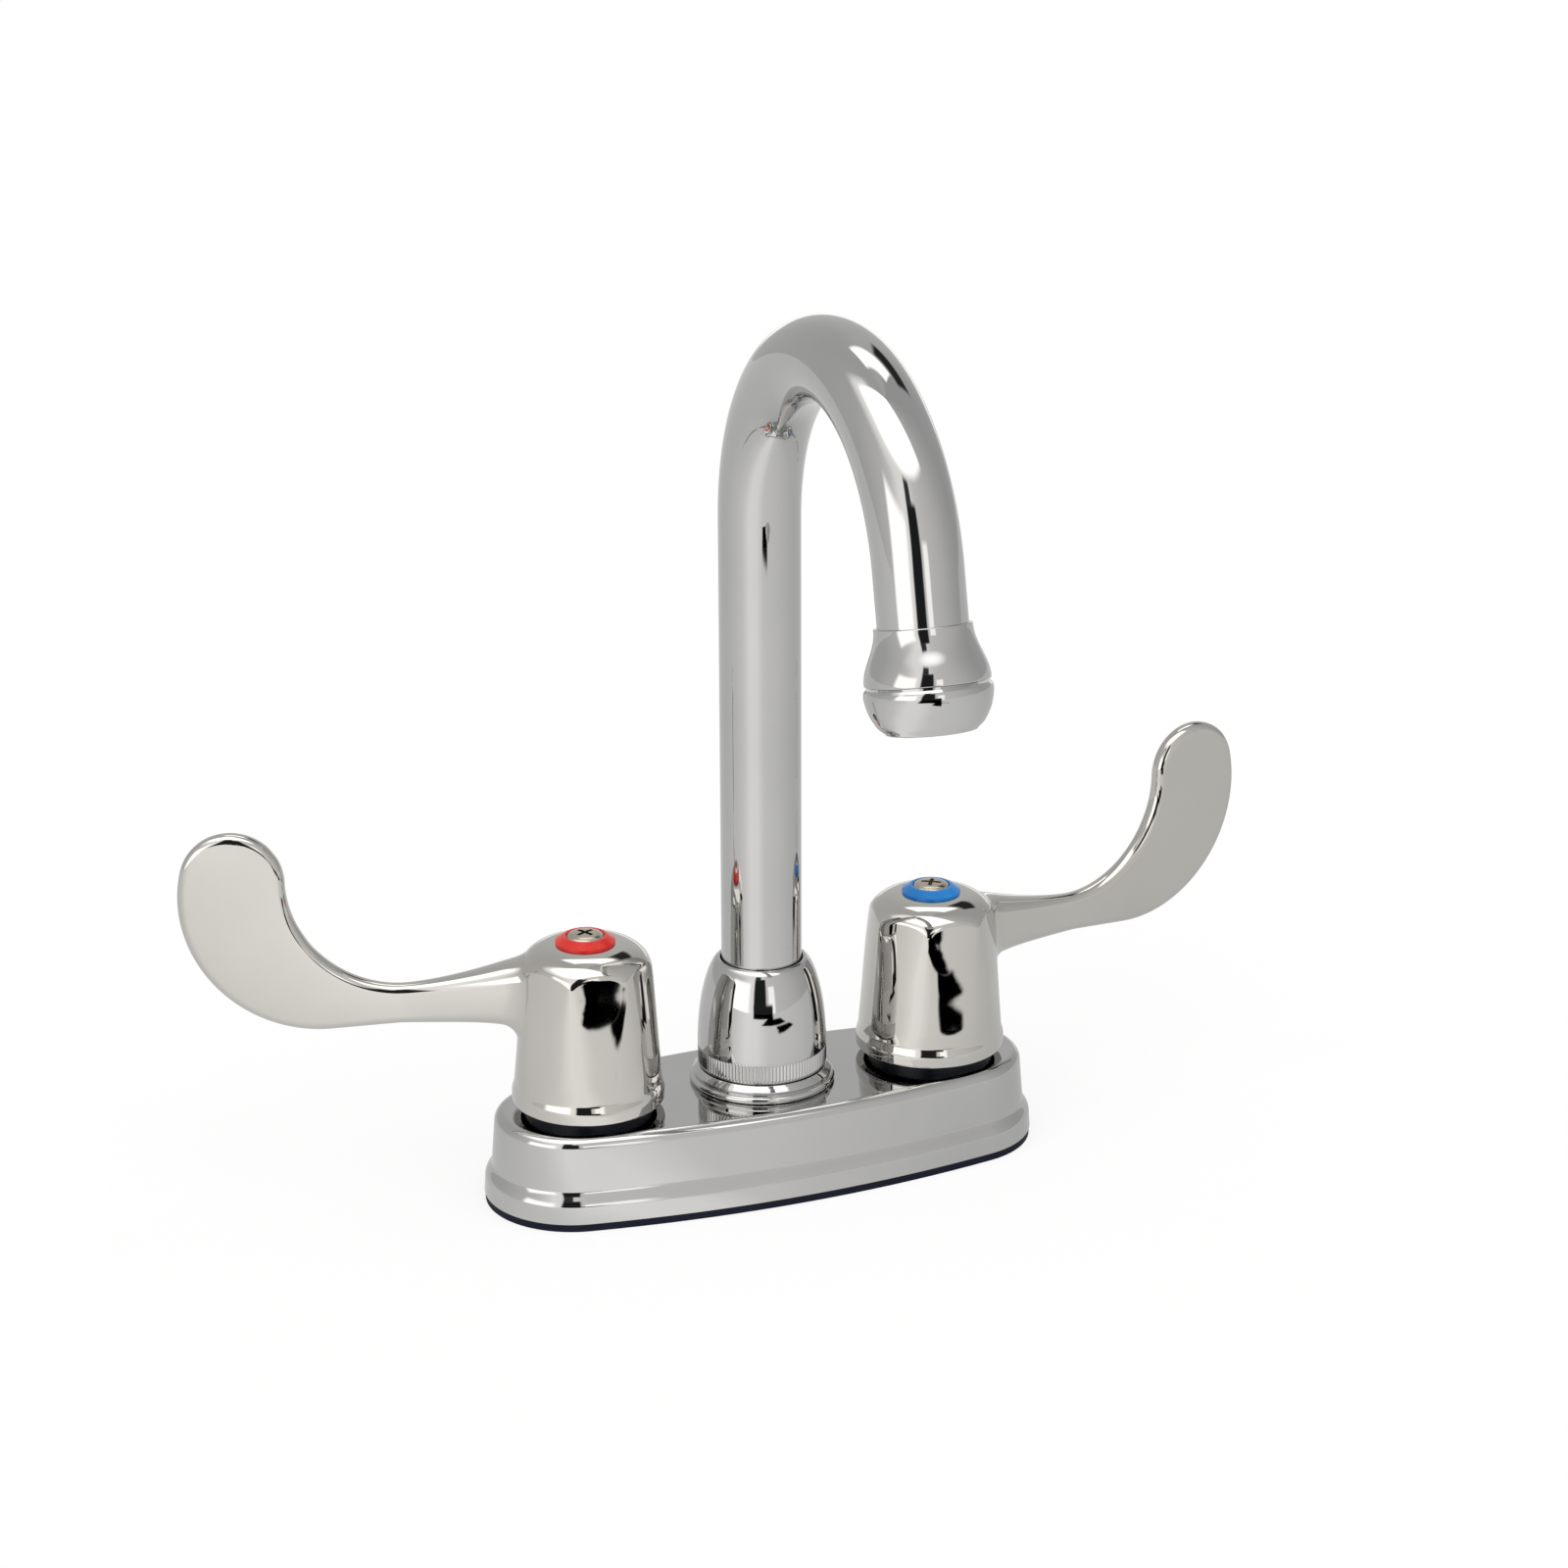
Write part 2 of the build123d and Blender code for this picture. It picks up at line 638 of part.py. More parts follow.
def index_ring():
    inner = head_r + fixed_clear
    outer = ring_recess_r - fixed_clear
    side_top = hub_top + ring_flange_t
    ring_top = hub_top + ring_height
    return lathe(Polyline((inner, screw_seat), (outer, screw_seat), (outer, hub_top),
                          (ring_flange_r, hub_top), (ring_flange_r, side_top),
                          (head_r + ring_top_w, ring_top), (inner, ring_top), close=True))


def handle_screw():
    low = screw_seat - screw_len
    top = screw_seat + head_height
    side_top = screw_seat + head_side
    point = screw_r / 5
    screw = lathe(
        Polyline((0, top), (0, low), (screw_r - point, low), (screw_r, low + point), (screw_r, screw_seat),
                 (head_r, screw_seat), (head_r, side_top)),
        Spline((head_r, side_top), (0, top), tangents=((-0.6, 1), (-1, 0))))
    cross = [Rot(0, 0, deg) * Box(cross_len, cross_width, 2 * cross_depth) for deg in (45, 135)]
    return screw - [Pos(0, 0, top) * slot for slot in cross]


def stem():
    clip_low = neck_top + seat_gap / 2
    seal_z = neck_top - stem_ring_drop
    spline_low = neck_top + spline_rise
    shaft = rod(foot_r, moving_disc_top, foot_top) + rod(stem_r, foot_top, spline_low)
    shaft += Pos(0, 0, moving_disc_top - tang_depth / 2) * Box(tang_len, tang_width, tang_depth)
    shaft += Pos(0, 0, spline_low) * extrude(spline_shape(0), stem_top - spline_low)
    shaft -= rod(screw_r + fixed_clear, screw_seat - screw_len - screw_r, stem_top)
    shaft -= tube(clip_groove_r, 2 * stem_r, clip_low, clip_low + clip_t + seat_gap / 2)
    half = stem_ring_wire_r + seat_gap
    return shaft - tube(stem_r - 2 * stem_ring_wire_r, 2 * stem_r, seal_z - half, seal_z + half)


def stem_o_ring():
    return Pos(0, 0, neck_top - stem_ring_drop) * Torus(stem_r - stem_ring_wire_r, stem_ring_wire_r)


def stem_clip():
    low = neck_top + 0.75 * seat_gap
    inner = clip_groove_r + fixed_clear
    return split_ring(inner, inner + clip_width, low, clip_t, 1.5 * clip_groove_r)


def cartridge():
    """Brass valve housing: open below for the discs, side windows, hexagon and a neck round the stem."""
    low = well_floor + valve_seal_t / 4
    cavity_top = foot_top + free_clear
    body = rod(well_bore_r - fixed_clear, low, well_top) + rod(neck_r, hex_top, neck_top)
    body += hex_nut(hex_flats, stem_r, well_top, hex_top)
    body -= rod(disc_r + fixed_clear, low, cavity_top)
    body -= rod(stem_r + run_clear, cavity_top, neck_top)
    window_low = moving_disc_top + free_clear
    window = Box(3 * well_bore_r, window_width, foot_top - window_low)
    return body - Pos(0, 0, (window_low + foot_top) / 2) * window


def deck_collar():
    ring = tube(well_neck_r + fixed_clear, collar_out_r, plate_top, plate_top + collar_t)
    rim = ring.edges().filter_by(GeomType.CIRCLE).group_by(SortBy.RADIUS)[-1].group_by(Axis.Z)[-1]
    return fillet(rim, collar_round)


def ports(turn_deg, low):
    """A pair of opposed quarter-circle openings through a disc."""
    far = 2 * port_r
    corner = make_face(Polyline((port_land, port_land), (far, port_land), (port_land, far), close=True))
    opening = Pos(0, 0, low) * extrude(corner & Circle(port_r), disc_t)
    return [Rot(0, 0, turn_deg + half_turn) * opening for half_turn in (0, 180)]


def moving_disc():
    disc = rod(disc_r - free_clear, moving_disc_low, moving_disc_top)
    slot = Box(tang_len + pass_clear, tang_width + fixed_clear, 2 * tang_depth)
    return disc - ports(0, moving_disc_low) - Pos(0, 0, moving_disc_top) * slot


def fixed_disc():
    return rod(disc_r, fixed_disc_low, moving_disc_low) - ports(90, fixed_disc_low)


def seat_seal():
    return tube(port_r, disc_r, well_floor, fixed_disc_low)


def save(name, piece):
    """Write one node; a list is a group of separate solids under one name."""
    if isinstance(piece, list):
        piece = Compound(children=piece)
    export_step(piece, f"parts/{name}.step")
    print(name, [round(solid.volume) for solid in piece.solids()])


os.makedirs("parts", exist_ok=True)
for make in (deck_plate, base_gasket, waterway_body, mounting_washers, mounting_nuts, spout_flange,
             spout_nut, spout_thrust_washer, spout_tube, spout_ferrule, spout_o_rings, spout_retaining_ring,
             aerator_adapter, aerator_cap, aerator_washer, aerator_screen, aerator_insert):
    save(make.__name__, make())
for prefix, x, rest_deg in (("hot", -half_centres, hot_rest_deg), ("cold", half_centres, cold_rest_deg)):
    for make in (supply_shank, cartridge, deck_collar, fixed_disc, seat_seal):
        save(f"{prefix}_{make.__name__}", Pos(x, 0) * make())
    for make in (handle, index_ring, handle_screw, stem, stem_o_ring, stem_clip, moving_disc):
        save(f"{prefix}_{make.__name__}", Pos(x, 0) * Rot(0, 0, rest_deg) * make())
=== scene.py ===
# Bar faucet with wrist blades: looks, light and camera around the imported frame.
import json
from math import asin, atan2, cos, degrees, pi, radians, sin, sqrt

import bpy
import numpy as np
from mathutils import Matrix, Vector
from mathutils.geometry import delaunay_2d_cdt


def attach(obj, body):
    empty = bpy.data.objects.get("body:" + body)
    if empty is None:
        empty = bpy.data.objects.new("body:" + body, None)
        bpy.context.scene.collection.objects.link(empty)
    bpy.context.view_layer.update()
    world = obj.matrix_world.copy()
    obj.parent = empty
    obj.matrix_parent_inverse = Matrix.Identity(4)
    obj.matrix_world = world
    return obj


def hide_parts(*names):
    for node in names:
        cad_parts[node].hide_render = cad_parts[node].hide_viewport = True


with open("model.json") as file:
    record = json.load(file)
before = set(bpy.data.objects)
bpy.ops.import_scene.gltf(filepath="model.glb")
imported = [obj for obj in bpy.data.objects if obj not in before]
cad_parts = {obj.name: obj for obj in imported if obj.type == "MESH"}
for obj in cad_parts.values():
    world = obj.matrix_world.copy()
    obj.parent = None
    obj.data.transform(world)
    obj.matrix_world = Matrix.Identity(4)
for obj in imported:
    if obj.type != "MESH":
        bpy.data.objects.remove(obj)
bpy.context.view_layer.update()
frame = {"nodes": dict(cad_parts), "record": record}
print("frame loaded:", len(frame["nodes"]), "nodes")

mm = 0.001
sides = {"hot": dict(x=-50.8, turn=160.0), "cold": dict(x=50.8, turn=12.0)}


# Mesh helpers. A grid is an array (nu, nv, 3) of points P(u, v) in mm. Along v it closes into
# rings, and along u it closes where closedRows says so.

# quads between neighbours
def gridFaces(nu, nv, closedRows):
    index = np.arange(nu * nv).reshape(nu, nv)
    if closedRows:
        index = np.concatenate([index, index[:1]])
    a, b = index[:-1], index[1:]
    return np.stack([a, b, np.roll(b, -1, axis=1), np.roll(a, -1, axis=1)], axis=-1).reshape(-1, 4)


# normal = cross product of the two chords between a point's neighbours
def gridNormals(points, closedRows):
    along = np.roll(points, -1, axis=0) - np.roll(points, 1, axis=0)
    if not closedRows:
        along[0], along[-1] = points[1] - points[0], points[-1] - points[-2]
    normal = np.cross(along, np.roll(points, -1, axis=1) - np.roll(points, 1, axis=1))
    return normal / np.maximum(np.linalg.norm(normal, axis=-1, keepdims=True), 1e-12)


# grid as one part of a mesh: points, faces and normals, turned over if asked
def gridPart(points, over=False, closedRows=False):
    faces = gridFaces(*points.shape[:2], closedRows)
    normals = gridNormals(points, closedRows).reshape(-1, 3)
    if over:
        faces, normals = faces[:, ::-1], -normals
    return points.reshape(-1, 3), faces, normals


# grid closed both ways; the volume under its faces tells whether it has to be turned over
def closedPart(points):
    flat, faces, normals = gridPart(points, closedRows=True)
    a, b, c, d = (flat[faces[:, corner]] for corner in range(4))
    if (a * (np.cross(b, c) + np.cross(c, d))).sum() < 0:
        faces, normals = faces[:, ::-1], -normals
    return flat, faces, normals


# parts one after the other; a triangle becomes a quad with a doubled corner
def joinParts(parts):
    points, faces, normals, first = [], [], [], 0
    for p, f, n in parts:
        if f.shape[1] == 3:
            f = np.concatenate([f, f[:, 2:3]], axis=1)
        points.append(p)
        faces.append(f + first)
        normals.append(n)
        first += len(p)
    return np.concatenate(points), np.concatenate(faces), np.concatenate(normals)


# piece with its own normals; a quad with a doubled corner is a triangle again
def makePiece(name, points, faces, normals, slot, body, nodes):
    same = faces == np.roll(faces, -1, axis=1)
    doubled = same.sum(axis=1)
    quads, tris = faces[doubled == 0], faces[doubled == 1][~same[doubled == 1]].reshape(-1, 3)
    loops = np.concatenate([quads.ravel(), tris.ravel()]).astype(np.int32)
    starts = np.concatenate([np.arange(len(quads)) * 4, quads.size + np.arange(len(tris)) * 3])
    mesh = bpy.data.meshes.new(name)
    mesh.vertices.add(len(points))
    mesh.vertices.foreach_set("co", (points * mm).astype(np.float32).ravel())
    mesh.loops.add(len(loops))
    mesh.loops.foreach_set("vertex_index", loops)
    mesh.polygons.add(len(starts))
    mesh.polygons.foreach_set("loop_start", starts.astype(np.int32))
    mesh.update(calc_edges=True)
    mesh.validate()
    mesh.shade_smooth()
    mesh.normals_split_custom_set_from_vertices(normals.astype(np.float32))
    mesh.materials.append(finish[slot])
    piece = bpy.data.objects.new(name, mesh)
    bpy.context.scene.collection.objects.link(piece)
    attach(piece, body)
    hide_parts(*nodes)


# Curves

# outline with its corners rounded: each corner (x, y, radius) becomes an arc between its two
# tangent points, and one with no radius stays a point
def rounded(corners, steps=6):
    spots = np.array([corner[:2] for corner in corners], float)
    out = []
    for k, (_, _, radius) in enumerate(corners):
        here, before, after = spots[k], spots[k - 1], spots[(k + 1) % len(spots)]
        if radius == 0:
            out.append(here[None])
            continue
        toBefore = (before - here) / np.linalg.norm(before - here)
        toAfter = (after - here) / np.linalg.norm(after - here)
        both = toBefore + toAfter
        half = np.arccos(np.clip(toBefore @ toAfter, -1, 1)) / 2
        reach = radius / np.tan(half)
        middle = here + both / np.linalg.norm(both) * radius / np.sin(half)
        start, end = here + toBefore * reach - middle, here + toAfter * reach - middle
        share = np.linspace(0, 1, steps + 1)[:, None]
        sweep = pi - 2 * half
        arc = (start * np.sin((1 - share) * sweep) + end * np.sin(share * sweep)) / np.sin(sweep)
        out.append(middle + arc)
    return np.concatenate(out)


# profile (radius, height) carried round the Z axis, then through the placing matrix
def lathe(profile, around, place=None):
    turn = np.linspace(0, 2 * pi, around, endpoint=False)
    r, z = profile[:, 0][:, None], profile[:, 1][:, None]
    points = np.stack([r * np.cos(turn), r * np.sin(turn), z + 0 * turn], axis=-1)
    if place is not None:
        points = points @ place[:3, :3].T + place[:3, 3]
    return points


# 0 below low, 1 above high, and the cubic 3 s^2 - 2 s^3 between
def smoothStep(low, high, value):
    share = np.clip((value - low) / (high - low), 0, 1)
    return share * share * (3 - 2 * share)


# bell curve from a low radius to a high one: the share of the radius left is (1 - t^power)^bulge
def bell(lowR, highR, low, high, bulge, power, count):
    t = np.sin(np.linspace(0, pi / 2, count))
    left = np.maximum(1 - t**power, 0)**bulge
    return np.stack([highR + (lowR - highR) * left, low + (high - low) * t], axis=-1)


# cubic curve from start to end that leaves and arrives at the given rates
def cubic(t, start, leave, end, arrive):
    return ((2 * t**3 - 3 * t**2 + 1) * start + (t**3 - 2 * t**2 + t) * leave
            + (3 * t**2 - 2 * t**3) * end + (t**3 - t**2) * arrive)


# Materials

# a socket takes a value, or a link from another node's socket
def feed(tree, socket, value):
    if isinstance(value, bpy.types.NodeSocket):
        tree.links.new(value, socket)
    else:
        socket.default_value = value


def addNode(tree, kind, **sockets):
    node = tree.nodes.new("ShaderNode" + kind)
    for name, value in sockets.items():
        feed(tree, node.inputs[name.replace("_", " ")], value)
    return node


def newMaterial(name, **sockets):
    material = bpy.data.materials.new(name)
    material.use_nodes = True
    tree = material.node_tree
    shader = tree.nodes["Principled BSDF"]
    for key, value in sockets.items():
        shader.inputs[key.replace("_", " ")].default_value = value
    return material, tree, shader, addNode(tree, "TexCoord").outputs["Object"]


# noise of a grain: its scale and its detail
def noise(tree, place, grain):
    return addNode(tree, "TexNoise", Vector=place, Scale=grain[0], Detail=grain[1]).outputs["Fac"]


# the noise's middle, where nearly all of it lies, spread over a range
def noiseRange(tree, place, grain, low, high, middle=(0.3, 0.7)):
    spread = addNode(tree, "MapRange", Value=noise(tree, place, grain), From_Min=middle[0],
                     From_Max=middle[1], To_Min=low, To_Max=high)
    return spread.outputs["Result"]


# colour that wanders between the tone and a darker share of it
def mottle(tree, shader, place, tone, darker, grain):
    tint = addNode(tree, "MixRGB", Fac=noiseRange(tree, place, grain, 0.0, 1.0), Color1=(*tone, 1),
                   Color2=(*[channel * darker for channel in tone], 1))
    tree.links.new(tint.outputs["Color"], shader.inputs["Base Color"])


def bump(tree, shader, height, strength, distance):
    node = addNode(tree, "Bump", Height=height, Strength=strength, Distance=distance)
    tree.links.new(node.outputs["Normal"], shader.inputs["Normal"])


# grains are a noise's scale and detail, heights are in metres
plating = dict(haze=(45, 4), wave=(60, 1), waveHeight=0.0002, tint=(28, 5), darker=0.94)
turning = dict(rings=(400, 3), ringStrength=0.25, tint=(90, 4), darker=0.8)
moulding = dict(gloss=(220, 3), grainDetail=2, grainHeight=0.0001, tint=(120, 4))


# plated metal: a mirror with faint haze from wiping and long shallow waves from the buffing wheel
def plated(name, tone, haze, wave):
    material, tree, shader, place = newMaterial(name, Base_Color=(*tone, 1), Metallic=1.0)
    feed(tree, shader.inputs["Roughness"], noiseRange(tree, place, plating["haze"], *haze))
    bump(tree, shader, noise(tree, place, plating["wave"]), wave, plating["waveHeight"])
    mottle(tree, shader, place, tone, plating["darker"], plating["tint"])
    return material


# turned or drawn metal: fine rings of roughness and bump across the axis
def turned(name, tone, roughness, stretch, ringHeight):
    material, tree, shader, place = newMaterial(name, Base_Color=(*tone, 1), Metallic=1.0)
    across = addNode(tree, "Mapping", Vector=place, Scale=stretch).outputs["Vector"]
    rings = noiseRange(tree, across, turning["rings"], *roughness)
    feed(tree, shader.inputs["Roughness"], rings)
    bump(tree, shader, rings, turning["ringStrength"], ringHeight)
    mottle(tree, shader, place, tone, turning["darker"], turning["tint"])
    return material


# moulded plastic, rubber or ceramic: slight mottling and a fine moulded grain
def moulded(name, tone, darker, roughness, strength, grainSize, **sockets):
    material, tree, shader, place = newMaterial(name, Base_Color=(*tone, 1), **sockets)
    feed(tree, shader.inputs["Roughness"], noiseRange(tree, place, moulding["gloss"], *roughness))
    grain = noise(tree, place, (grainSize, moulding["grainDetail"]))
    bump(tree, shader, grain, strength, moulding["grainHeight"])
    mottle(tree, shader, place, tone, darker, moulding["tint"])
    return material


finish = {
    "chrome": plated("mirrorChrome", (0.56, 0.56, 0.555), (0.015, 0.05), 0.05),
    "handle_chrome": plated("handleChrome", (0.62, 0.605, 0.575), (0.015, 0.05), 0.06),
    "black_rubber": moulded("blackRubber", (0.005, 0.008, 0.02), 0.7, (0.5, 0.65), 0.3, 1500,
                            Specular_IOR_Level=0.15),
    "black_plastic": moulded("blackPlastic", (0.006, 0.009, 0.018), 0.75, (0.25, 0.38), 0.15, 1800,
                             Specular_IOR_Level=0.2),
    "brass": turned("machinedBrass", (0.72, 0.53, 0.27), (0.16, 0.34), (0.15, 0.15, 6), 0.00006),
    "zinc_steel": turned("zincPlate", (0.62, 0.63, 0.62), (0.22, 0.4), (0.3, 0.3, 3), 0.00004),
    "stainless": turned("stainlessSteel", (0.56, 0.51, 0.43), (0.14, 0.3), (1, 1, 4), 0.00003),
    "white_plastic": moulded("whitePlastic", (0.8, 0.8, 0.77), 0.93, (0.35, 0.5), 0.12, 1200),
    "ceramic": moulded("lappedCeramic", (0.86, 0.84, 0.79), 0.95, (0.08, 0.16), 0.03, 900,
                       Coat_Weight=0.3),
    "red_plastic": moulded("redPlastic", (0.72, 0.024, 0.016), 0.85, (0.2, 0.32), 0.06, 1300),
    "blue_plastic": moulded("bluePlastic", (0.002, 0.2, 0.6), 0.85, (0.2, 0.32), 0.06, 1300),
}
for part in frame["record"]["subparts"]:
    node = frame["nodes"][part["node"]]
    node.data.materials.clear()
    node.data.materials.append(finish[part["material_slot"]])
print("finishes made:", len(finish))


# Base plate. Sizes here and below are in mm; the third number of a corner is its radius.

plate = dict(length=160.0, width=60.1, bow=332.6, under=2.0, top=25.4, wall=2.3, footIn=1.5,
             footRound=0.35, bandTop=6.2, bandLean=0.3, stepTop=11.0, stepIn=2.25, stepRise=0.82,
             wallIn=3.2, topRound=3.1, topFlat=0.3, hollowBevel=0.8,
             holes=((-50.8, 13.9), (0.0, 14.9), (50.8, 13.9)),  # place along X, radius
             arcSteps=110, curveRows=15, holeSteps=64)


# plan of four tangent arcs: its points, and the unit outward direction at each
def planArcs():
    halfLen = plate["length"] / 2
    drop = plate["bow"] - plate["width"] / 2
    endR = (plate["bow"]**2 - halfLen**2 - drop**2) / (2 * (plate["bow"] - halfLen))
    endX = halfLen - endR
    lean = atan2(endX, drop)
    spots, outward = [], []
    for x, y, radius, start, turn in ((endX, 0, endR, lean - pi / 2, pi - 2 * lean),
                                      (0, -drop, plate["bow"], pi / 2 - lean, 2 * lean),
                                      (-endX, 0, endR, pi / 2 + lean, pi - 2 * lean),
                                      (0, drop, plate["bow"], 3 * pi / 2 - lean, 2 * lean)):
        angle = start + turn * np.arange(plate["arcSteps"]) / plate["arcSteps"]
        away = np.stack([np.cos(angle), np.sin(angle)], axis=-1)
        spots.append(np.array([x, y]) + radius * away)
        outward.append(away)
    return np.concatenate(spots), np.concatenate(outward)


# profile (inset, height) carried round the plan: each point moves inwards along the plan's normal
def roundThePlan(profile):
    spots, outward = planArcs()
    flat = spots[None] - outward[None] * profile[:, 0][:, None, None]
    height = np.broadcast_to(profile[:, 1][:, None, None], flat.shape[:2] + (1,))
    return np.concatenate([flat, height], axis=-1)


# flat layer with round holes: the outline and the holes are triangulated together, and the
# triangles whose middle lies in a hole go
def holedLayer(outline, height):
    turn = np.linspace(0, 2 * pi, plate["holeSteps"], endpoint=False)
    loops = [outline] + [np.stack([x + radius * np.cos(turn), radius * np.sin(turn)], axis=-1)
                         for x, radius in plate["holes"]]
    edges, first = [], 0
    for loop in loops:
        index = np.arange(len(loop))
        edges.append(np.stack([first + index, first + (index + 1) % len(loop)], axis=-1))
        first += len(loop)
    spots = np.concatenate(loops)
    found = delaunay_2d_cdt([Vector(p) for p in spots], np.concatenate(edges).tolist(), [], 0, 1e-9)
    tris = np.array(found[2])
    middle = spots[tris].mean(axis=1)
    keep = np.ones(len(tris), bool)
    for x, radius in plate["holes"]:
        keep &= np.hypot(middle[:, 0] - x, middle[:, 1]) > radius * 0.999  # rim's rounding error
    return np.concatenate([spots, np.full((len(spots), 1), height)], axis=-1), tris[keep]


# Plate in one skin. Side: points (inset, height) run up the lower band, over the curved step, up
# the leaning wall and round on to the top. The hollow follows it one wall thickness inside, and the
# foot joins the two. Two flat layers with holes close the top, and each hole has a round wall.
def makePlate():
    p = plate
    step = np.linspace(0, 1, p["curveRows"])
    curve = np.stack([p["bandLean"] + (p["stepIn"] - p["bandLean"]) * smoothStep(0, 1, step),
                      p["bandTop"] + (p["stepTop"] - p["bandTop"]) * step**p["stepRise"]], axis=-1)
    lowEdge = rounded([(p["footIn"], p["under"], 0), (0, p["under"], p["footRound"]),
                       (p["bandLean"], p["bandTop"], 0)])[1:-1]
    turn = np.linspace(0, pi / 2, p["curveRows"])
    shoulder = np.stack([p["wallIn"] + p["topRound"] * (1 - np.cos(turn)),
                         p["top"] - p["topRound"] * (1 - np.sin(turn))], axis=-1)
    rimIn = p["wallIn"] + p["topRound"]
    inner, ceiling = rimIn + p["wall"], p["top"] - p["wall"]
    side = roundThePlan(np.concatenate([lowEdge, curve, shoulder, [(rimIn + p["topFlat"], p["top"]),
                                                                   (inner, p["top"])]]))
    hollow = roundThePlan(np.array([(p["wall"], p["under"]), (p["wall"], p["bandTop"]),
                                    (p["stepIn"] + p["wall"], p["stepTop"]),
                                    (p["wallIn"] + p["wall"], ceiling - p["hollowBevel"]),
                                    (inner, ceiling)]))
    foot = roundThePlan(np.array([lowEdge[0], (p["wall"], p["under"])]))
    parts = [gridPart(side, over=True), gridPart(hollow), gridPart(foot)]
    for height, up in ((p["top"], 1), (ceiling, -1)):
        flat, tris = holedLayer(side[-1][:, :2], height)
        a, b, c = (flat[tris[:, corner]] for corner in range(3))
        wrong = np.cross(b - a, c - a)[:, 2] * up < 0
        tris[wrong] = tris[wrong][:, ::-1]
        parts.append((flat, tris, np.tile([0.0, 0, up], (len(flat), 1))))
    for x, radius in p["holes"]:
        wall = lathe(np.array([(radius, p["top"]), (radius, ceiling)]), p["holeSteps"])
        parts.append(gridPart(wall + [x, 0, 0], over=True))
    makePiece("basePlate", *joinParts(parts), "chrome", "faucet_body", ["deck_plate"])


makePlate()
print("base plate made")


# Spout tube: a ring of points carried along the riser, the arch towards the user and the straight
# outlet end. The straight rows stop a little short of the arch's own.

tube = dict(radius=11.0, wall=1.2, low=51.0, archZ=185.4, archR=51.7, archDeg=166.8, end=17.6,
            riserRows=24, archRows=110, endRows=5, riserGap=0.5, endGap=0.4, around=120)


# matrix that puts heights along the outlet end, with its zero where the arch ends
def outletPlace():
    turn = radians(tube["archDeg"])
    place = np.eye(4)
    place[:3, 0] = (1, 0, 0)
    place[:3, 2] = (0, -sin(turn), cos(turn))
    place[:3, 1] = np.cross(place[:3, 2], place[:3, 0])
    place[:3, 3] = (0, -tube["archR"] * (1 - cos(turn)), tube["archZ"] + tube["archR"] * sin(turn))
    return place


# Station: the arch's point at an angle, moved on by a run along the tangent. Ring: the centre plus
# radius times cos(v) along X and sin(v) along the arch's own radius. The bore runs back inside.
def makeTube():
    t = tube
    bend = radians(t["archDeg"])
    angle = np.concatenate([np.zeros(t["riserRows"]), np.linspace(0, bend, t["archRows"]),
                            np.full(t["endRows"], bend)])
    run = np.concatenate([np.linspace(t["low"] - t["archZ"], -t["riserGap"], t["riserRows"]),
                          np.zeros(t["archRows"]),
                          np.linspace(t["endGap"], t["end"], t["endRows"])])
    y = -t["archR"] * (1 - np.cos(angle)) - np.sin(angle) * run
    z = t["archZ"] + t["archR"] * np.sin(angle) + np.cos(angle) * run
    centre = np.stack([0 * y, y, z], axis=-1)[:, None]
    outward = np.stack([0 * angle, np.cos(angle), np.sin(angle)], axis=-1)[:, None]
    turn = np.linspace(0, 2 * pi, t["around"], endpoint=False)[None, :, None]
    ring = np.cos(turn) * np.array([1.0, 0, 0]) + np.sin(turn) * outward
    outer, inner = centre + t["radius"] * ring, centre + (t["radius"] - t["wall"]) * ring
    makePiece("spoutTube", *closedPart(np.concatenate([outer, inner[::-1]])), "chrome", "spout",
              ["spout_tube"])


makeTube()
print("spout tube made")


# Bell nut: bell curve over a band of straight ribs; the ribs are a cosine wave round the band,
# faded at both ends

nut = dict(low=30.4, band=17.575, bandTop=36.2, ribLow=31.0, ribHigh=36.0, ribs=112, ribDepth=0.42,
           ribFade=0.35, ribSteps=5, bandRows=4, rowsBelow=0.05, rowsAbove=0.45, bellLow=36.65,
           bellR=17.8, bulge=0.6, power=1.9, bellRows=36, lipR=11.9, top=61.5, neck=11.35,
           shoulder=50.4, bore=14.65)


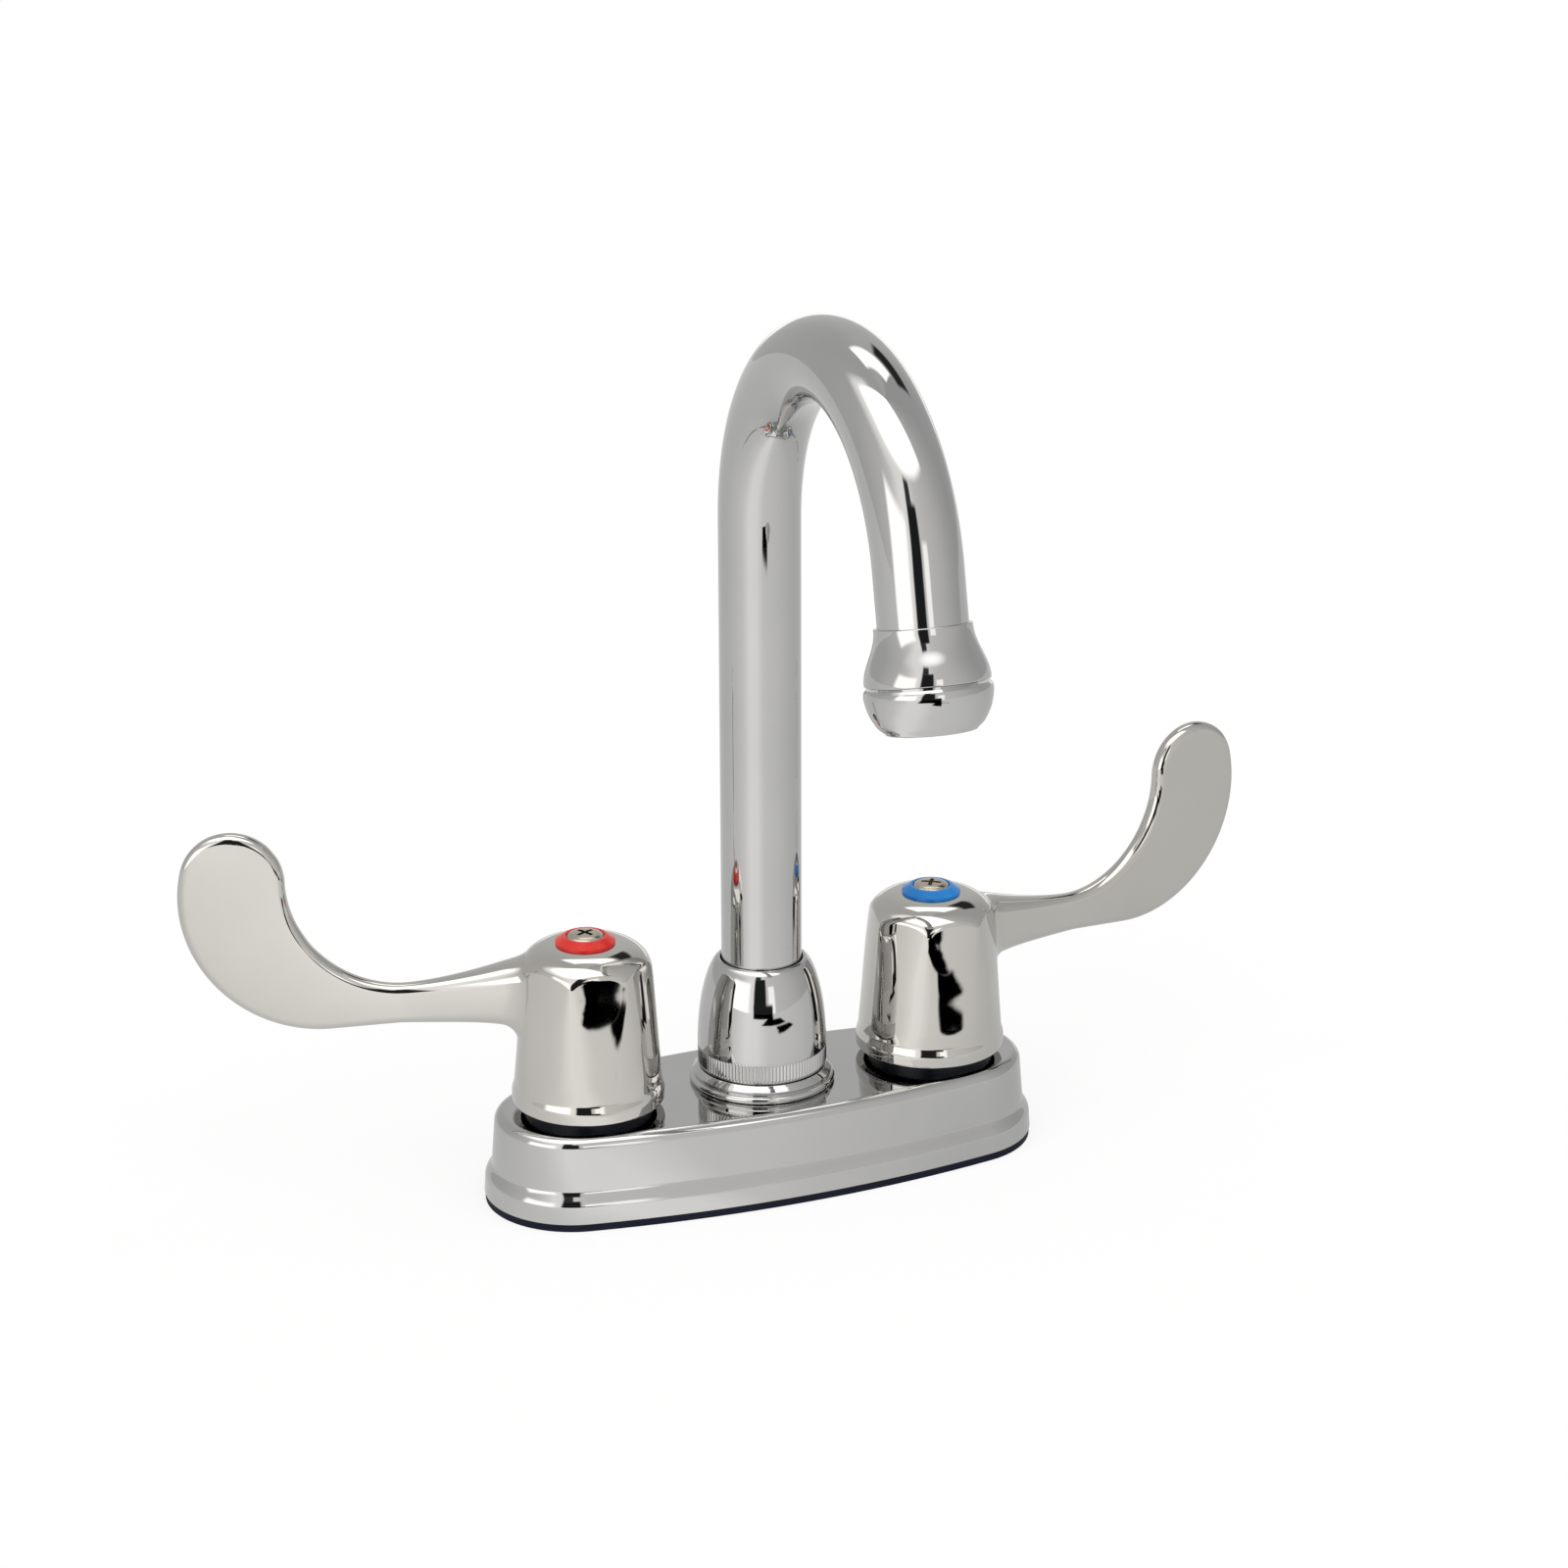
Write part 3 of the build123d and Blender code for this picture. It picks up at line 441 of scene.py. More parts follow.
def makeNut():
    n = nut
    curve = bell(n["bellR"], n["lipR"], n["bellLow"], n["top"], n["bulge"], n["power"],
                 n["bellRows"])
    lowEdge = rounded([(n["bore"] + 1, n["low"], 0), (n["band"], n["low"], 0.45),
                       (n["band"], n["bandTop"], 0)])[1:-1]
    below, above, count = n["rowsBelow"], n["rowsAbove"], n["bandRows"]
    rows = np.concatenate([np.linspace(n["ribLow"] - below, n["ribLow"] + above, count),
                           np.linspace(n["ribHigh"] - above, n["ribHigh"] + below, count)])
    band = np.stack([np.full(len(rows), n["band"]), rows], axis=-1)
    neckLine = rounded([(n["band"], n["bandTop"], 0), (n["band"], n["bandTop"] + 0.22, 0.1),
                        (n["bellR"], n["bandTop"] + 0.26, 0.08),
                        (n["bellR"], n["bellLow"], 0)])[1:-1]
    lip = rounded([(*curve[-2], 0), (*curve[-1], 0.12), (n["neck"], n["top"], 0.2),
                   (n["neck"], n["shoulder"], 0)])[1:-1]
    inside = [(n["neck"], n["shoulder"]), (n["bore"], n["shoulder"]), (n["bore"], n["low"])]
    points = lathe(np.concatenate([lowEdge, band, neckLine, curve[:-1], lip, inside]),
                   n["ribs"] * n["ribSteps"])
    x, y, z = points[..., 0], points[..., 1], points[..., 2]
    fade = smoothStep(n["ribLow"], n["ribLow"] + n["ribFade"], z)
    fade *= 1 - smoothStep(n["ribHigh"] - n["ribFade"], n["ribHigh"], z)
    fade *= np.hypot(x, y) > n["band"] - 0.1  # the bore keeps no ribs
    grow = 1 + n["ribDepth"] / 2 * fade * np.cos(n["ribs"] * np.arctan2(y, x)) / n["band"]
    points[..., :2] *= grow[..., None]
    makePiece("bellNut", *closedPart(points), "chrome", "faucet_body", ["spout_nut"])


makeNut()


# Flange ring under the nut, and outlet collar with its flare: turned profiles with soft corners

flange = dict(outer=20.1, bead=2.2, low=25.4, top=30.2, step=18.3, inner=14.9, beadRows=19,
              around=160)
outlet = dict(tube=11.05, collar=11.9, start=13.2, flare=15.25, length=13.7, flareRise=0.93,
              spigot=12.0, spigotEnd=31.5, bore=9.4, stop=17.6, mouth=3.0, flareRows=22, around=144)


# half round bead at the foot, a stepped ring above it, and the bore
def makeFlange():
    f = flange
    bead = f["bead"] / 2
    edge, middle = f["outer"] - bead, (f["step"] + f["outer"]) / 2
    beadTop = f["low"] + f["bead"]
    turn = np.linspace(-pi / 2, pi / 2, f["beadRows"])
    ring = np.stack([edge + bead * np.cos(turn), f["low"] + bead + bead * np.sin(turn)], axis=-1)
    rest = rounded([(edge, beadTop, 0), (middle - 0.25, beadTop, 0.12),
                    (middle, beadTop + bead, 0.3), (f["step"], f["top"] - bead / 2, 0.35),
                    (f["step"] - bead / 2, f["top"], 0.35), (f["inner"], f["top"], 0.15),
                    (f["inner"], f["low"], 0.15), (edge, f["low"], 0)])[1:-1]
    points = lathe(np.concatenate([ring, rest]), f["around"])
    makePiece("nutFlange", *closedPart(points), "chrome", "faucet_body", ["spout_flange"])


# the flare's radius grows as a smooth step of the share of its length
def makeOutletCollar():
    o = outlet
    edge = (o["flare"] - o["collar"]) / 8
    share = np.linspace(0, 1, o["flareRows"])
    end, mouth, rise = o["start"] + o["length"], o["start"] + o["mouth"], o["length"] - 3 * edge
    curve = np.stack([o["collar"] + (o["flare"] - o["collar"]) * smoothStep(0, 1, share),
                      o["start"] + edge + rise * share**o["flareRise"]], axis=-1)
    head = rounded([(o["tube"], mouth, 0), (o["tube"], o["start"], 0.12),
                    (o["collar"], o["start"], 0.3), (*curve[1], 0)])[1:-1]
    tail = rounded([(o["flare"], curve[-1][1], 0), (o["flare"], end, 0.4), (o["spigot"], end, 0.1),
                    (o["spigot"], o["spigotEnd"], 0.3), (o["bore"], o["spigotEnd"], 0.2),
                    (o["bore"], o["stop"], 0.1), (o["tube"], o["stop"], 0.05),
                    (o["tube"], mouth, 0)])[1:-1]
    points = lathe(np.concatenate([head, curve[1:], tail]), o["around"], outletPlace())
    makePiece("outletCollar", *closedPart(points), "chrome", "spout", ["aerator_adapter"])


makeFlange()
makeOutletCollar()
print("nut, flange and outlet collar made")


# Handle: hub, arm and wrist blade in one skin, in its own frame: blade along +X, heights from the
# rim up

grip = dict(rim=28.2, rimR=20.8, lip=2.5, lipEdge=0.55, wallLowR=20.1, wallLow=5.9, wallHighR=18.0,
            wallHigh=36.9, top=44.8, flatR=8.4, domeBulge=0.55, domePower=2.0, panels=7,
            panelHalf=22.4, panelHalfTop=25.2, panelLow=2.6, scoop=16.0, panelSoft=0.16,
            panelFade=0.3, panelArc=36.0, panelBow=0.4, swell=0.04, swellLow=(6, 11),
            swellHigh=(34, 41), mouth=18.0, ceiling=35.5, ceilingR=15.9, boss=8.2, bossLow=18.5,
            bore=5.05, boreTop=40.7, screwHole=2.8, ringHole=6.9, ringSeat=42.8,
            lipRows=10, wallRows=26, domeRows=30, around=240)
arm = dict(start=23.0, rootX=17.6, rootTop=40.8, rootLow=20.9, rootThick=14.2, topPower=1.5,
           lowPower=6.0, thickPower=1.6, corner=0.44, faceBow=0.07, end=50.0, endTop=33.7,
           endLow=22.7, flareWide=3.6, flareUp=3.2, flareDown=4.4, flarePull=1.5, armPull=1.1,
           wallFrom=4, sunk=0.03, capIn=0.3, rows=40, filletRows=16)
paddle = dict(thick=5.0, reach=107.4, top=77.1, low=21.1, tipR=14.0, outerR=36.6, crown=0.12,
              fullCrown=20, rows=60, tipRows=32, rimSteps=9,
              across=(0.03, 0.12, 0.3, 0.5, 0.7, 0.88, 0.97))


# Outer profile of the hub, (radius, height): rounded lip, a cubic curve on to the leaning wall, the
# straight wall, and a bell curve for the dome
def hubWall():
    g = grip
    lowLine = rounded([(g["mouth"], 0, 0.3), (g["rimR"], 0, g["lipEdge"]),
                       (g["rimR"], g["lip"], 0)])
    t = np.linspace(0, 1, g["lipRows"])[1:, None]
    slope = (g["wallHighR"] - g["wallLowR"]) / (g["wallHigh"] - g["wallLow"])
    rise = g["wallLow"] - g["lip"]
    blend = cubic(t, [g["rimR"], g["lip"]], [0, rise], [g["wallLowR"], g["wallLow"]],
                  [slope * rise, rise])
    wall = (np.linspace(0, 1, g["wallRows"])[1:-1, None]
            * [g["wallHighR"] - g["wallLowR"], g["wallHigh"] - g["wallLow"]])
    wall += [g["wallLowR"], g["wallLow"]]
    dome = bell(g["wallHighR"], g["flatR"], g["wallHigh"], g["top"], g["domeBulge"], g["domePower"],
                g["domeRows"])
    return np.concatenate([lowLine[1:], blend, wall, dome])


# Hub's radius with its panels: the softer minimum of the round wall and seven leaning panels.
# Across, a panel is an arc of its own larger radius. At an angle from its middle it lies at
# -back cos + sqrt(arc^2 - (back sin)^2), where back is how far the arc's centre lies behind the
# hub's. The panels bow slightly and fade out at the rim.
def panelled(radius, height, turn):
    g = grip

    def middleOf(wallR, half):
        return g["panelArc"] + wallR * cos(half) - sqrt(g["panelArc"]**2 - (wallR * sin(half))**2)

    low = middleOf(g["wallLowR"], radians(g["panelHalf"]))
    high = middleOf(g["wallHighR"], radians(g["panelHalfTop"]))
    rise = (height - g["wallLow"]) / (g["wallHigh"] - g["wallLow"])
    plane = low + (high - low) * rise + g["panelBow"] * 4 * rise * (1 - rise)
    scooped = 1 - smoothStep(g["panelLow"], g["panelLow"] + g["scoop"], height)
    plane = plane + (radius - plane + 0.1) * scooped  # scooped out of the wall, a little beyond it
    step = 2 * pi / g["panels"]
    offset = (turn + step / 2) % step - step / 2
    back = g["panelArc"] - plane
    flat = np.sqrt(g["panelArc"]**2 - (back * np.sin(offset))**2) - back * np.cos(offset)
    gap = g["panelSoft"]
    mix = np.clip(0.5 + (radius - flat) / (4 * gap), 0, 1)
    softer = radius * (1 - mix) + flat * mix - 2 * gap * mix * (1 - mix)
    active = smoothStep(g["panelLow"] - g["panelFade"], g["panelLow"] + g["panelFade"], height)
    return radius + (softer - radius) * active


# Hub: panelled wall, then the round inside with the ring's seat, screw hole, spline bore and boss
def hubSkin():
    g = grip
    outer = hubWall()
    turn = np.linspace(0, 2 * pi, g["around"], endpoint=False)
    height = outer[:, 1][:, None] + 0 * turn
    radius = panelled(outer[:, 0][:, None] + 0 * turn, height, turn[None])
    inner = rounded([(g["flatR"], g["top"], 0), (g["ringHole"], g["top"], 0.15),
                     (g["ringHole"], g["ringSeat"], 0.1), (g["screwHole"], g["ringSeat"], 0.1),
                     (g["screwHole"], g["boreTop"], 0.05), (g["bore"], g["boreTop"], 0.1),
                     (g["bore"], g["bossLow"], 0.3), (g["boss"], g["bossLow"], 0.4),
                     (g["boss"], g["ceiling"], 1.0), (g["ceilingR"], g["ceiling"], 1.0),
                     (g["mouth"], g["lip"], 0.5), (g["mouth"], 0, 0)])[1:-1]
    height = np.concatenate([height, inner[:, 1][:, None] + 0 * turn])
    radius = np.concatenate([radius, inner[:, 0][:, None] + 0 * turn])
    return np.stack([radius * np.cos(turn), radius * np.sin(turn), height], axis=-1)


# The arm's low, top and thickness near their end values each at its own rate:
# end + (root - end) * (1 - share)^power
def armSizes(x):
    a = arm
    left = np.clip(1 - (x - a["rootX"]) / (a["end"] - a["rootX"]), 0, 1)
    low = a["endLow"] - (a["endLow"] - a["rootLow"]) * left**a["lowPower"]
    top = a["endTop"] + (a["rootTop"] - a["endTop"]) * left**a["topPower"]
    thick = paddle["thick"] + (a["rootThick"] - paddle["thick"]) * left**a["thickPower"]
    return low, top, thick


# point on a circle of the blade's plane, (x, z)
def onCircle(x, z, radius, angle):
    return np.stack([x + radius * np.cos(angle), z + radius * np.sin(angle)], axis=-1)


# Upper and lower edge of arm and blade, matched point by point: straight arm, quarter arc against
# lower line and outer arc, then the two halves of the tip arc, which meet at the apex
def gripEdges():
    p, a = paddle, arm
    tipX, tipZ = p["reach"] - p["tipR"], p["top"] - p["tipR"]
    innerR = tipZ - a["endTop"]
    innerX = tipX - p["tipR"] - innerR
    outerZ = p["low"] + p["outerR"]
    outerX = tipX - sqrt((p["outerR"] - p["tipR"])**2 - (tipZ - outerZ)**2)
    meet = atan2(tipZ - outerZ, tipX - outerX)
    dx, dz = outerX - innerX, outerZ - a["endLow"]
    span = sqrt(dx**2 + dz**2)
    lean = atan2(dz, dx) - asin(p["outerR"] / span)
    run = sqrt(span**2 - p["outerR"]**2)
    x = np.linspace(a["start"], innerX, a["rows"])
    low, top, _ = armSizes(x)
    share = np.linspace(0, 1, p["rows"] + 1)[1:]
    upperArc = onCircle(innerX, tipZ, innerR, -pi / 2 + share * pi / 2)
    travel = share * (run + p["outerR"] * (meet + pi / 2 - lean))
    onLine = travel[:, None] * [cos(lean), sin(lean)] + [innerX, a["endLow"]]
    onArc = onCircle(outerX, outerZ, p["outerR"],
                     lean - pi / 2 + np.maximum(travel - run, 0) / p["outerR"])
    lowerArc = np.where((travel < run)[:, None], onLine, onArc)
    apex = (pi + meet) / 2
    turn = np.linspace(0, 1, p["tipRows"] + 1)[1:]
    upperTip = onCircle(tipX, tipZ, p["tipR"], pi + (apex - pi) * turn)
    lowerTip = onCircle(tipX, tipZ, p["tipR"], meet + (apex - meet) * turn)
    upper = np.concatenate([np.stack([x, top], axis=-1), upperArc, upperTip])
    lower = np.concatenate([np.stack([x, low], axis=-1), lowerArc, lowerTip])
    return upper, lower


# the edge's tangent turned by a quarter
def inwardNormals(edge, side):
    along = np.gradient(edge, axis=0)
    along /= np.linalg.norm(along, axis=1, keepdims=True)
    return np.stack([-along[:, 1], along[:, 0]], axis=-1) * side


# Section ring at every station: round upper rim from front to back, back face, round lower rim,
# front face. A rim's point is inset by corner (1 - sin) and lies at half the thickness less
# corner (1 - cos); a face is the straight line between two rims, bulged by bow 4 s (1 - s).
def gripRings():
    upper, lower = gripEdges()
    upIn, lowIn = inwardNormals(upper, -1), inwardNormals(lower, 1)
    apex = (upIn[-1] + lowIn[-1]) / np.linalg.norm(upIn[-1] + lowIn[-1])
    upIn[-1] = lowIn[-1] = apex
    _, _, thick = armSizes(upper[:, 0])
    thick = np.where(upper[:, 0] < arm["end"], thick, paddle["thick"])
    half, corner = thick / 2, thick * arm["corner"]
    bend = np.linspace(0, pi / 2, paddle["rimSteps"])
    inset = np.concatenate([1 - np.sin(bend), 1 - np.sin(bend[::-1])])
    depth = np.concatenate([-np.cos(bend), np.cos(bend[::-1])])
    across = np.array(paddle["across"])

    def rim(edge, inward, order):
        e = corner[:, None] * inset[order]
        y = (half - corner)[:, None] * np.sign(depth[order]) + corner[:, None] * depth[order]
        spot = edge[:, None] + inward[:, None] * e[..., None]
        return np.stack([spot[..., 0], y, spot[..., 1]], axis=-1)

    top, bottom = rim(upper, upIn, slice(None)), rim(lower, lowIn, slice(None, None, -1))
    width = np.linalg.norm(top[:, -1] - bottom[:, 0], axis=-1)

    def face(a, b, side):
        spots = a[:, None] + (b - a)[:, None] * across[None, :, None]
        bow = paddle["crown"] + arm["faceBow"] * (thick - paddle["thick"])
        narrow = np.minimum(width / paddle["fullCrown"], 1)
        spots[..., 1] += side * (bow[:, None] * 4 * across * (1 - across) * narrow[:, None])
        return spots

    return np.concatenate([top, face(top[:, -1], bottom[:, 0], 1),
                           bottom, face(bottom[:, -1], top[:, 0], -1)], axis=1)


# Fillet between hub and arm: each section point runs on a cubic curve from its place on the hub's
# wall, where it leaves along the wall, to the first station, where it arrives along the arm
def rootFillet(first, second):
    a = arm
    outer = hubWall()
    outer = outer[outer[:, 1] > a["wallFrom"]]
    length = np.concatenate([[0], np.cumsum(np.linalg.norm(np.diff(outer, axis=0), axis=1))])
    low, top, thick = armSizes(np.array(a["start"]))
    middle = (low + top) / 2
    away = first[:, 2] - middle
    halfHeight, halfThick = (top - low) / 2, thick / 2
    midLength = np.interp(middle, outer[:, 1], length)

    def onHub(scale):
        grow = np.where(away > 0, a["flareUp"], a["flareDown"])
        turn = first[:, 1] * (1 + a["flareWide"] / halfThick * scale) / grip["wallHighR"]
        place = midLength + away * (1 + grow / halfHeight * scale)
        height = np.interp(place, length, outer[:, 1])
        radius = panelled(np.interp(place, length, outer[:, 0]), height, turn) - a["sunk"]
        return np.stack([radius * np.cos(turn), radius * np.sin(turn), height], axis=-1)

    start = onHub(1.0)
    leave = (onHub(0.9) - start) * 10 * a["flarePull"]  # a tenth of the flare, times ten
    arrive = second - first
    reach = np.linalg.norm(first - start, axis=1, keepdims=True)
    arrive = arrive / np.linalg.norm(arrive, axis=1, keepdims=True) * reach * a["armPull"]
    t = np.linspace(0, 1, a["filletRows"], endpoint=False)[:, None, None]
    return cubic(t, start, leave, first, arrive)


# points closer than a micrometre become one, their normals are averaged, and faces that shrank to a
# line go
def weld(points, faces, normals):
    _, first, back = np.unique(np.round(points, 3), axis=0, return_index=True, return_inverse=True)
    back = back.ravel()
    points, faces = points[first], back[faces]
    summed = np.zeros((len(first), 3))
    np.add.at(summed, back, normals)
    summed /= np.maximum(np.linalg.norm(summed, axis=1, keepdims=True), 1e-9)
    a, b, c, d = (points[faces[:, corner]] for corner in range(4))
    keep = np.linalg.norm(np.cross(c - a, d - b), axis=1) > 1e-6
    return points, faces[keep], summed


# fan that closes the arm's root inside the hub's wall: each pair of neighbours on the ring and one
# point, a little nearer the axis than their mean; the ring's own normals are left to the arm
def rootCap(ring):
    spot = [np.hypot(ring[:, 0], ring[:, 1]).mean() - arm["capIn"], 0, ring[:, 2].mean()]
    index = np.arange(len(ring))
    fan = np.stack([index, np.roll(index, -1), np.full(len(ring), len(ring))], axis=-1)
    normals = np.zeros((len(ring) + 1, 3))
    normals[-1, 0] = -1
    return np.concatenate([ring, [spot]]), fan, normals


# hub, blade and root cap joined, turned to the side's angle and put on its axis
def makeHandle(side):
    g = grip
    rings = gripRings()
    fillet = rootFillet(rings[0], rings[1])
    blade = np.concatenate([fillet, rings])
    bladePart = gridPart(blade)
    normals = bladePart[2].reshape(blade.shape)
    shrunk = np.linalg.norm(blade[-1] - np.roll(blade[-1], 1, axis=0), axis=1) < 1e-4
    normals[-1][shrunk] = normals[-2][shrunk]  # points that meet in the tip
    hubPoints, hubFaces, normals = closedPart(hubSkin())
    rows = len(hubWall()) * g["around"]
    height = hubPoints[:rows, 2]
    swell = smoothStep(*g["swellLow"], height) * (1 - smoothStep(*g["swellHigh"], height))
    normals[:rows, 2] += g["swell"] * swell  # buffing leaves the cast wall a little full
    normals /= np.linalg.norm(normals, axis=-1, keepdims=True)
    points, faces, normals = weld(*joinParts([(hubPoints, hubFaces, normals), bladePart,
                                              rootCap(fillet[0])]))
    turn = radians(sides[side]["turn"])
    spin = np.array([[cos(turn), -sin(turn), 0], [sin(turn), cos(turn), 0], [0, 0, 1]])
    points = points @ spin.T + [sides[side]["x"], 0, g["rim"]]
    makePiece(side + "Grip", points, faces, normals @ spin.T, "handle_chrome", side + "_lever",
              [side + "_handle"])


for side in sides:
    makeHandle(side)
print("handles made")


# Supply shanks: half inch straight thread, fourteen turns to the inch. Radius is the major radius
# less the thread's depth times a triangle wave of height / pitch - turn / full circle, blunted at
# crest and root. The thread fades out at the relief groove and under the deck, and the chamfer cuts
# it at the foot.

shank = dict(major=10.4, depth=0.85, pitch=1.814, blunt=0.12, low=-52.0, high=2.0, chamfer=1.2,
             spigot=9.0, spigotTop=7.0, bore=6.0, grooveHigh=-24.0, grooveLow=-26.0, grooveDeep=0.9,
             fade=0.4, rows=340, around=72)


def makeShank(side):
    s = shank
    fade, grooveLow, grooveHigh = s["fade"], s["grooveLow"], s["grooveHigh"]
    height = np.linspace(s["low"], s["high"], s["rows"])[:, None]
    turn = np.linspace(0, 2 * pi, s["around"], endpoint=False)[None]
    wave = np.abs(((height / s["pitch"] - turn / (2 * pi)) % 1) * 2 - 1)
    wave = smoothStep(s["blunt"], 1 - s["blunt"], wave)
    groove = (smoothStep(grooveLow, grooveLow + fade, height)
              * (1 - smoothStep(grooveHigh - fade, grooveHigh, height)))
    threaded = (1 - smoothStep(grooveLow - 2 * fade, grooveLow, height)
                * (1 - smoothStep(grooveHigh, grooveHigh + 2 * fade, height)))
    threaded *= 1 - smoothStep(-2 * fade, 0, height)
    radius = s["major"] - s["depth"] * wave * threaded - s["grooveDeep"] * groove
    radius = np.minimum(radius, s["major"] - s["chamfer"] + height - s["low"])
    outer = np.stack([radius * np.cos(turn), radius * np.sin(turn), height + 0 * turn], axis=-1)
    rest = rounded([(s["major"], s["high"] - 0.2, 0), (s["major"], s["high"], 0.1),
                    (s["spigot"], s["high"], 0.1), (s["spigot"], s["spigotTop"], 0.3),
                    (s["bore"], s["spigotTop"], 0.2), (s["bore"], s["low"], 0.3),
                    (s["major"] - s["chamfer"], s["low"], 0.05),
                    (s["major"], s["low"] + s["chamfer"], 0)])[1:-1]
    points = np.concatenate([outer[:-1], lathe(rest, s["around"])]) + [sides[side]["x"], 0, 0]
    makePiece(side + "Shank", *closedPart(points), "brass", "faucet_body", [side + "_supply_shank"])


for side in sides:
    makeShank(side)
print("shanks made")


# Camera: the photograph's angle, distance and lens, worked out from the fitted frame

camera = dict(target=(6.77, 0.0, 110.3), azimuth=-21.98, pitch=18.94, roll=-0.14, distance=961.96,
              focalPixels=3629.8, framePixels=1600.0, sensor=36.0, nearest=0.05, farthest=20)


def placeCamera():
    turn, lift, roll = (radians(camera[key]) for key in ("azimuth", "pitch", "roll"))
    back = Vector((sin(turn) * cos(lift), -cos(turn) * cos(lift), sin(lift)))
    right = Vector((cos(turn), sin(turn), 0))
    up = back.cross(right)
    rightRolled = right * cos(roll) + up * sin(roll)
    upRolled = up * cos(roll) - right * sin(roll)
    lens = bpy.data.cameras.new("viewCamera")
    lens.sensor_width = camera["sensor"]
    lens.lens = camera["sensor"] * camera["focalPixels"] / camera["framePixels"]
    lens.clip_start, lens.clip_end = camera["nearest"], camera["farthest"]
    eye = bpy.data.objects.new("viewCamera", lens)
    place = Matrix((rightRolled, upRolled, back)).transposed().to_4x4()
    place.translation = (Vector(camera["target"]) + back * camera["distance"]) * mm
    eye.matrix_world = place
    bpy.context.scene.collection.objects.link(eye)
    bpy.context.scene.camera = eye


placeCamera()
print("camera placed")


# Light: a pale tent. Bearings are degrees round the faucet from the user's side, + towards the cold
# handle; lifts are degrees above the floor. A level of 1 is white. Only mirrored rays see the
# tent's bright and dark parts.

light = dict(
    fill=0.58,
    suns=[("sunLeft", (-0.8, -0.7, 1.3), 1.3),  # name, where it shines from, strength
          ("sunRight", (0.9, -0.5, 1.2), 0.75)],
    sunSpread=70,
    lit=(0.25, 0.75),  # levels between which the cloth goes from shaded to lit
    shadedRed=0.955, litRed=0.06,  # red of shaded cloth, and what light adds to it
    litBlue=0.02,  # blue that light takes off
    around=[(-180, 0.57), (-150, 0.55), (-125, 0.58), (-105, 0.66), (-90, 0.72), (-70, 0.88),
            (-50, 1.22), (-30, 1.18), (-12, 0.86), (5, 0.80), (25, 0.74), (45, 0.66), (65, 0.57),
            (90, 0.49), (120, 0.50), (140, 0.60), (160, 0.62), (180, 0.57)],
    patches=[  # what, bearing, half width, lift, half height, level, softness in degrees
        ("upperLeft", -85, 45, 54, 12, 1.2, 12),
        ("backDim", 128, 15, 43, 8, 0.03, 5),
        ("crownGlow", 155, 32, 62, 8, 1.95, 4),
        ("overhead", -42, 80, 84, 33, 2.05, 7),
        ("leftPanel", -66, 20, 9, 18, 1.85, 8),
        ("frontGlow", -2, 6, 6, 16, 1.55, 4),
        ("backPanel", 152, 20, -9, 12, 1.35, 7),
        ("opening", -25, 12, 20, 18, 0.02, 4),
        ("openingFoot", -19, 18, 0, 4.5, 0.02, 3),
        ("openingTop", -30, 7, 42, 6, 0.05, 4),
    ],
    paintedFloorStrip=(-0.09, 0.08, -0.85, 0.21, 0.03),  # painted dark strip on the floor: x, half width, y, half depth, soft
    paintedFloorFront=(-19, 18, 4, 0.84, 0.05),  # painted dark front far off on the floor: bearing, half width, soft, distance, soft
    paintedFloorRoom=[  # painted reflection of a dark room, strongest at a glance: as the painted strip, then facing, its half, soft
        (-0.005, 0.165, -0.625, 0.215, 0.04, 0.845, 0.09, 0.02),
        (0.105, 0.075, -0.36, 0.11, 0.03, 0.81, 0.062, 0.02),
    ],
    ragged=(11, 0.035))  # scale of the noise at their edges, and its reach


# Math or VectorMath node, fed in the order of its sockets
def mathNode(tree, operation, *values, kind="Math", output="Value"):
    node = tree.nodes.new("ShaderNode" + kind)
    node.operation = operation
    for socket, value in zip(node.inputs, values):
        feed(tree, socket, value)
    return node.outputs[output]


# 1 up to half - soft / 2 from the middle, 0 beyond half + soft / 2, smooth between
def softBand(tree, value, middle, half, soft, wraps=False):
    away = mathNode(tree, "SUBTRACT", value, middle)
    if wraps:
        away = mathNode(tree, "WRAP", away, 180, -180)
    away = mathNode(tree, "ABSOLUTE", away)
    band = addNode(tree, "MapRange", Value=away, From_Min=max(half - soft / 2, 0),
                   From_Max=half + soft / 2, To_Min=1, To_Max=0)
    band.interpolation_type = "SMOOTHSTEP"
    return band.outputs["Result"]


# product of a band across and a band up
def softPatch(tree, across, up, middle, half, height, halfHeight, soft, wraps=False):
    return mathNode(tree, "MULTIPLY", softBand(tree, across, middle, half, soft, wraps),
                    softBand(tree, up, height, halfHeight, soft))


def mixShaders(tree, share, first, second):
    mix = tree.nodes.new("ShaderNodeMixShader")
    for socket, value in zip(mix.inputs, (share, first, second)):
        tree.links.new(value, socket)
    return mix.outputs["Shader"]


# the tent's shaded cloth is a little cooler than its lit cloth
def tone(level):
    lit = smoothStep(*light["lit"], level)
    return (level * (light["shadedRed"] + light["litRed"] * lit), level,
            level * (1 - light["litBlue"] * lit), 1)
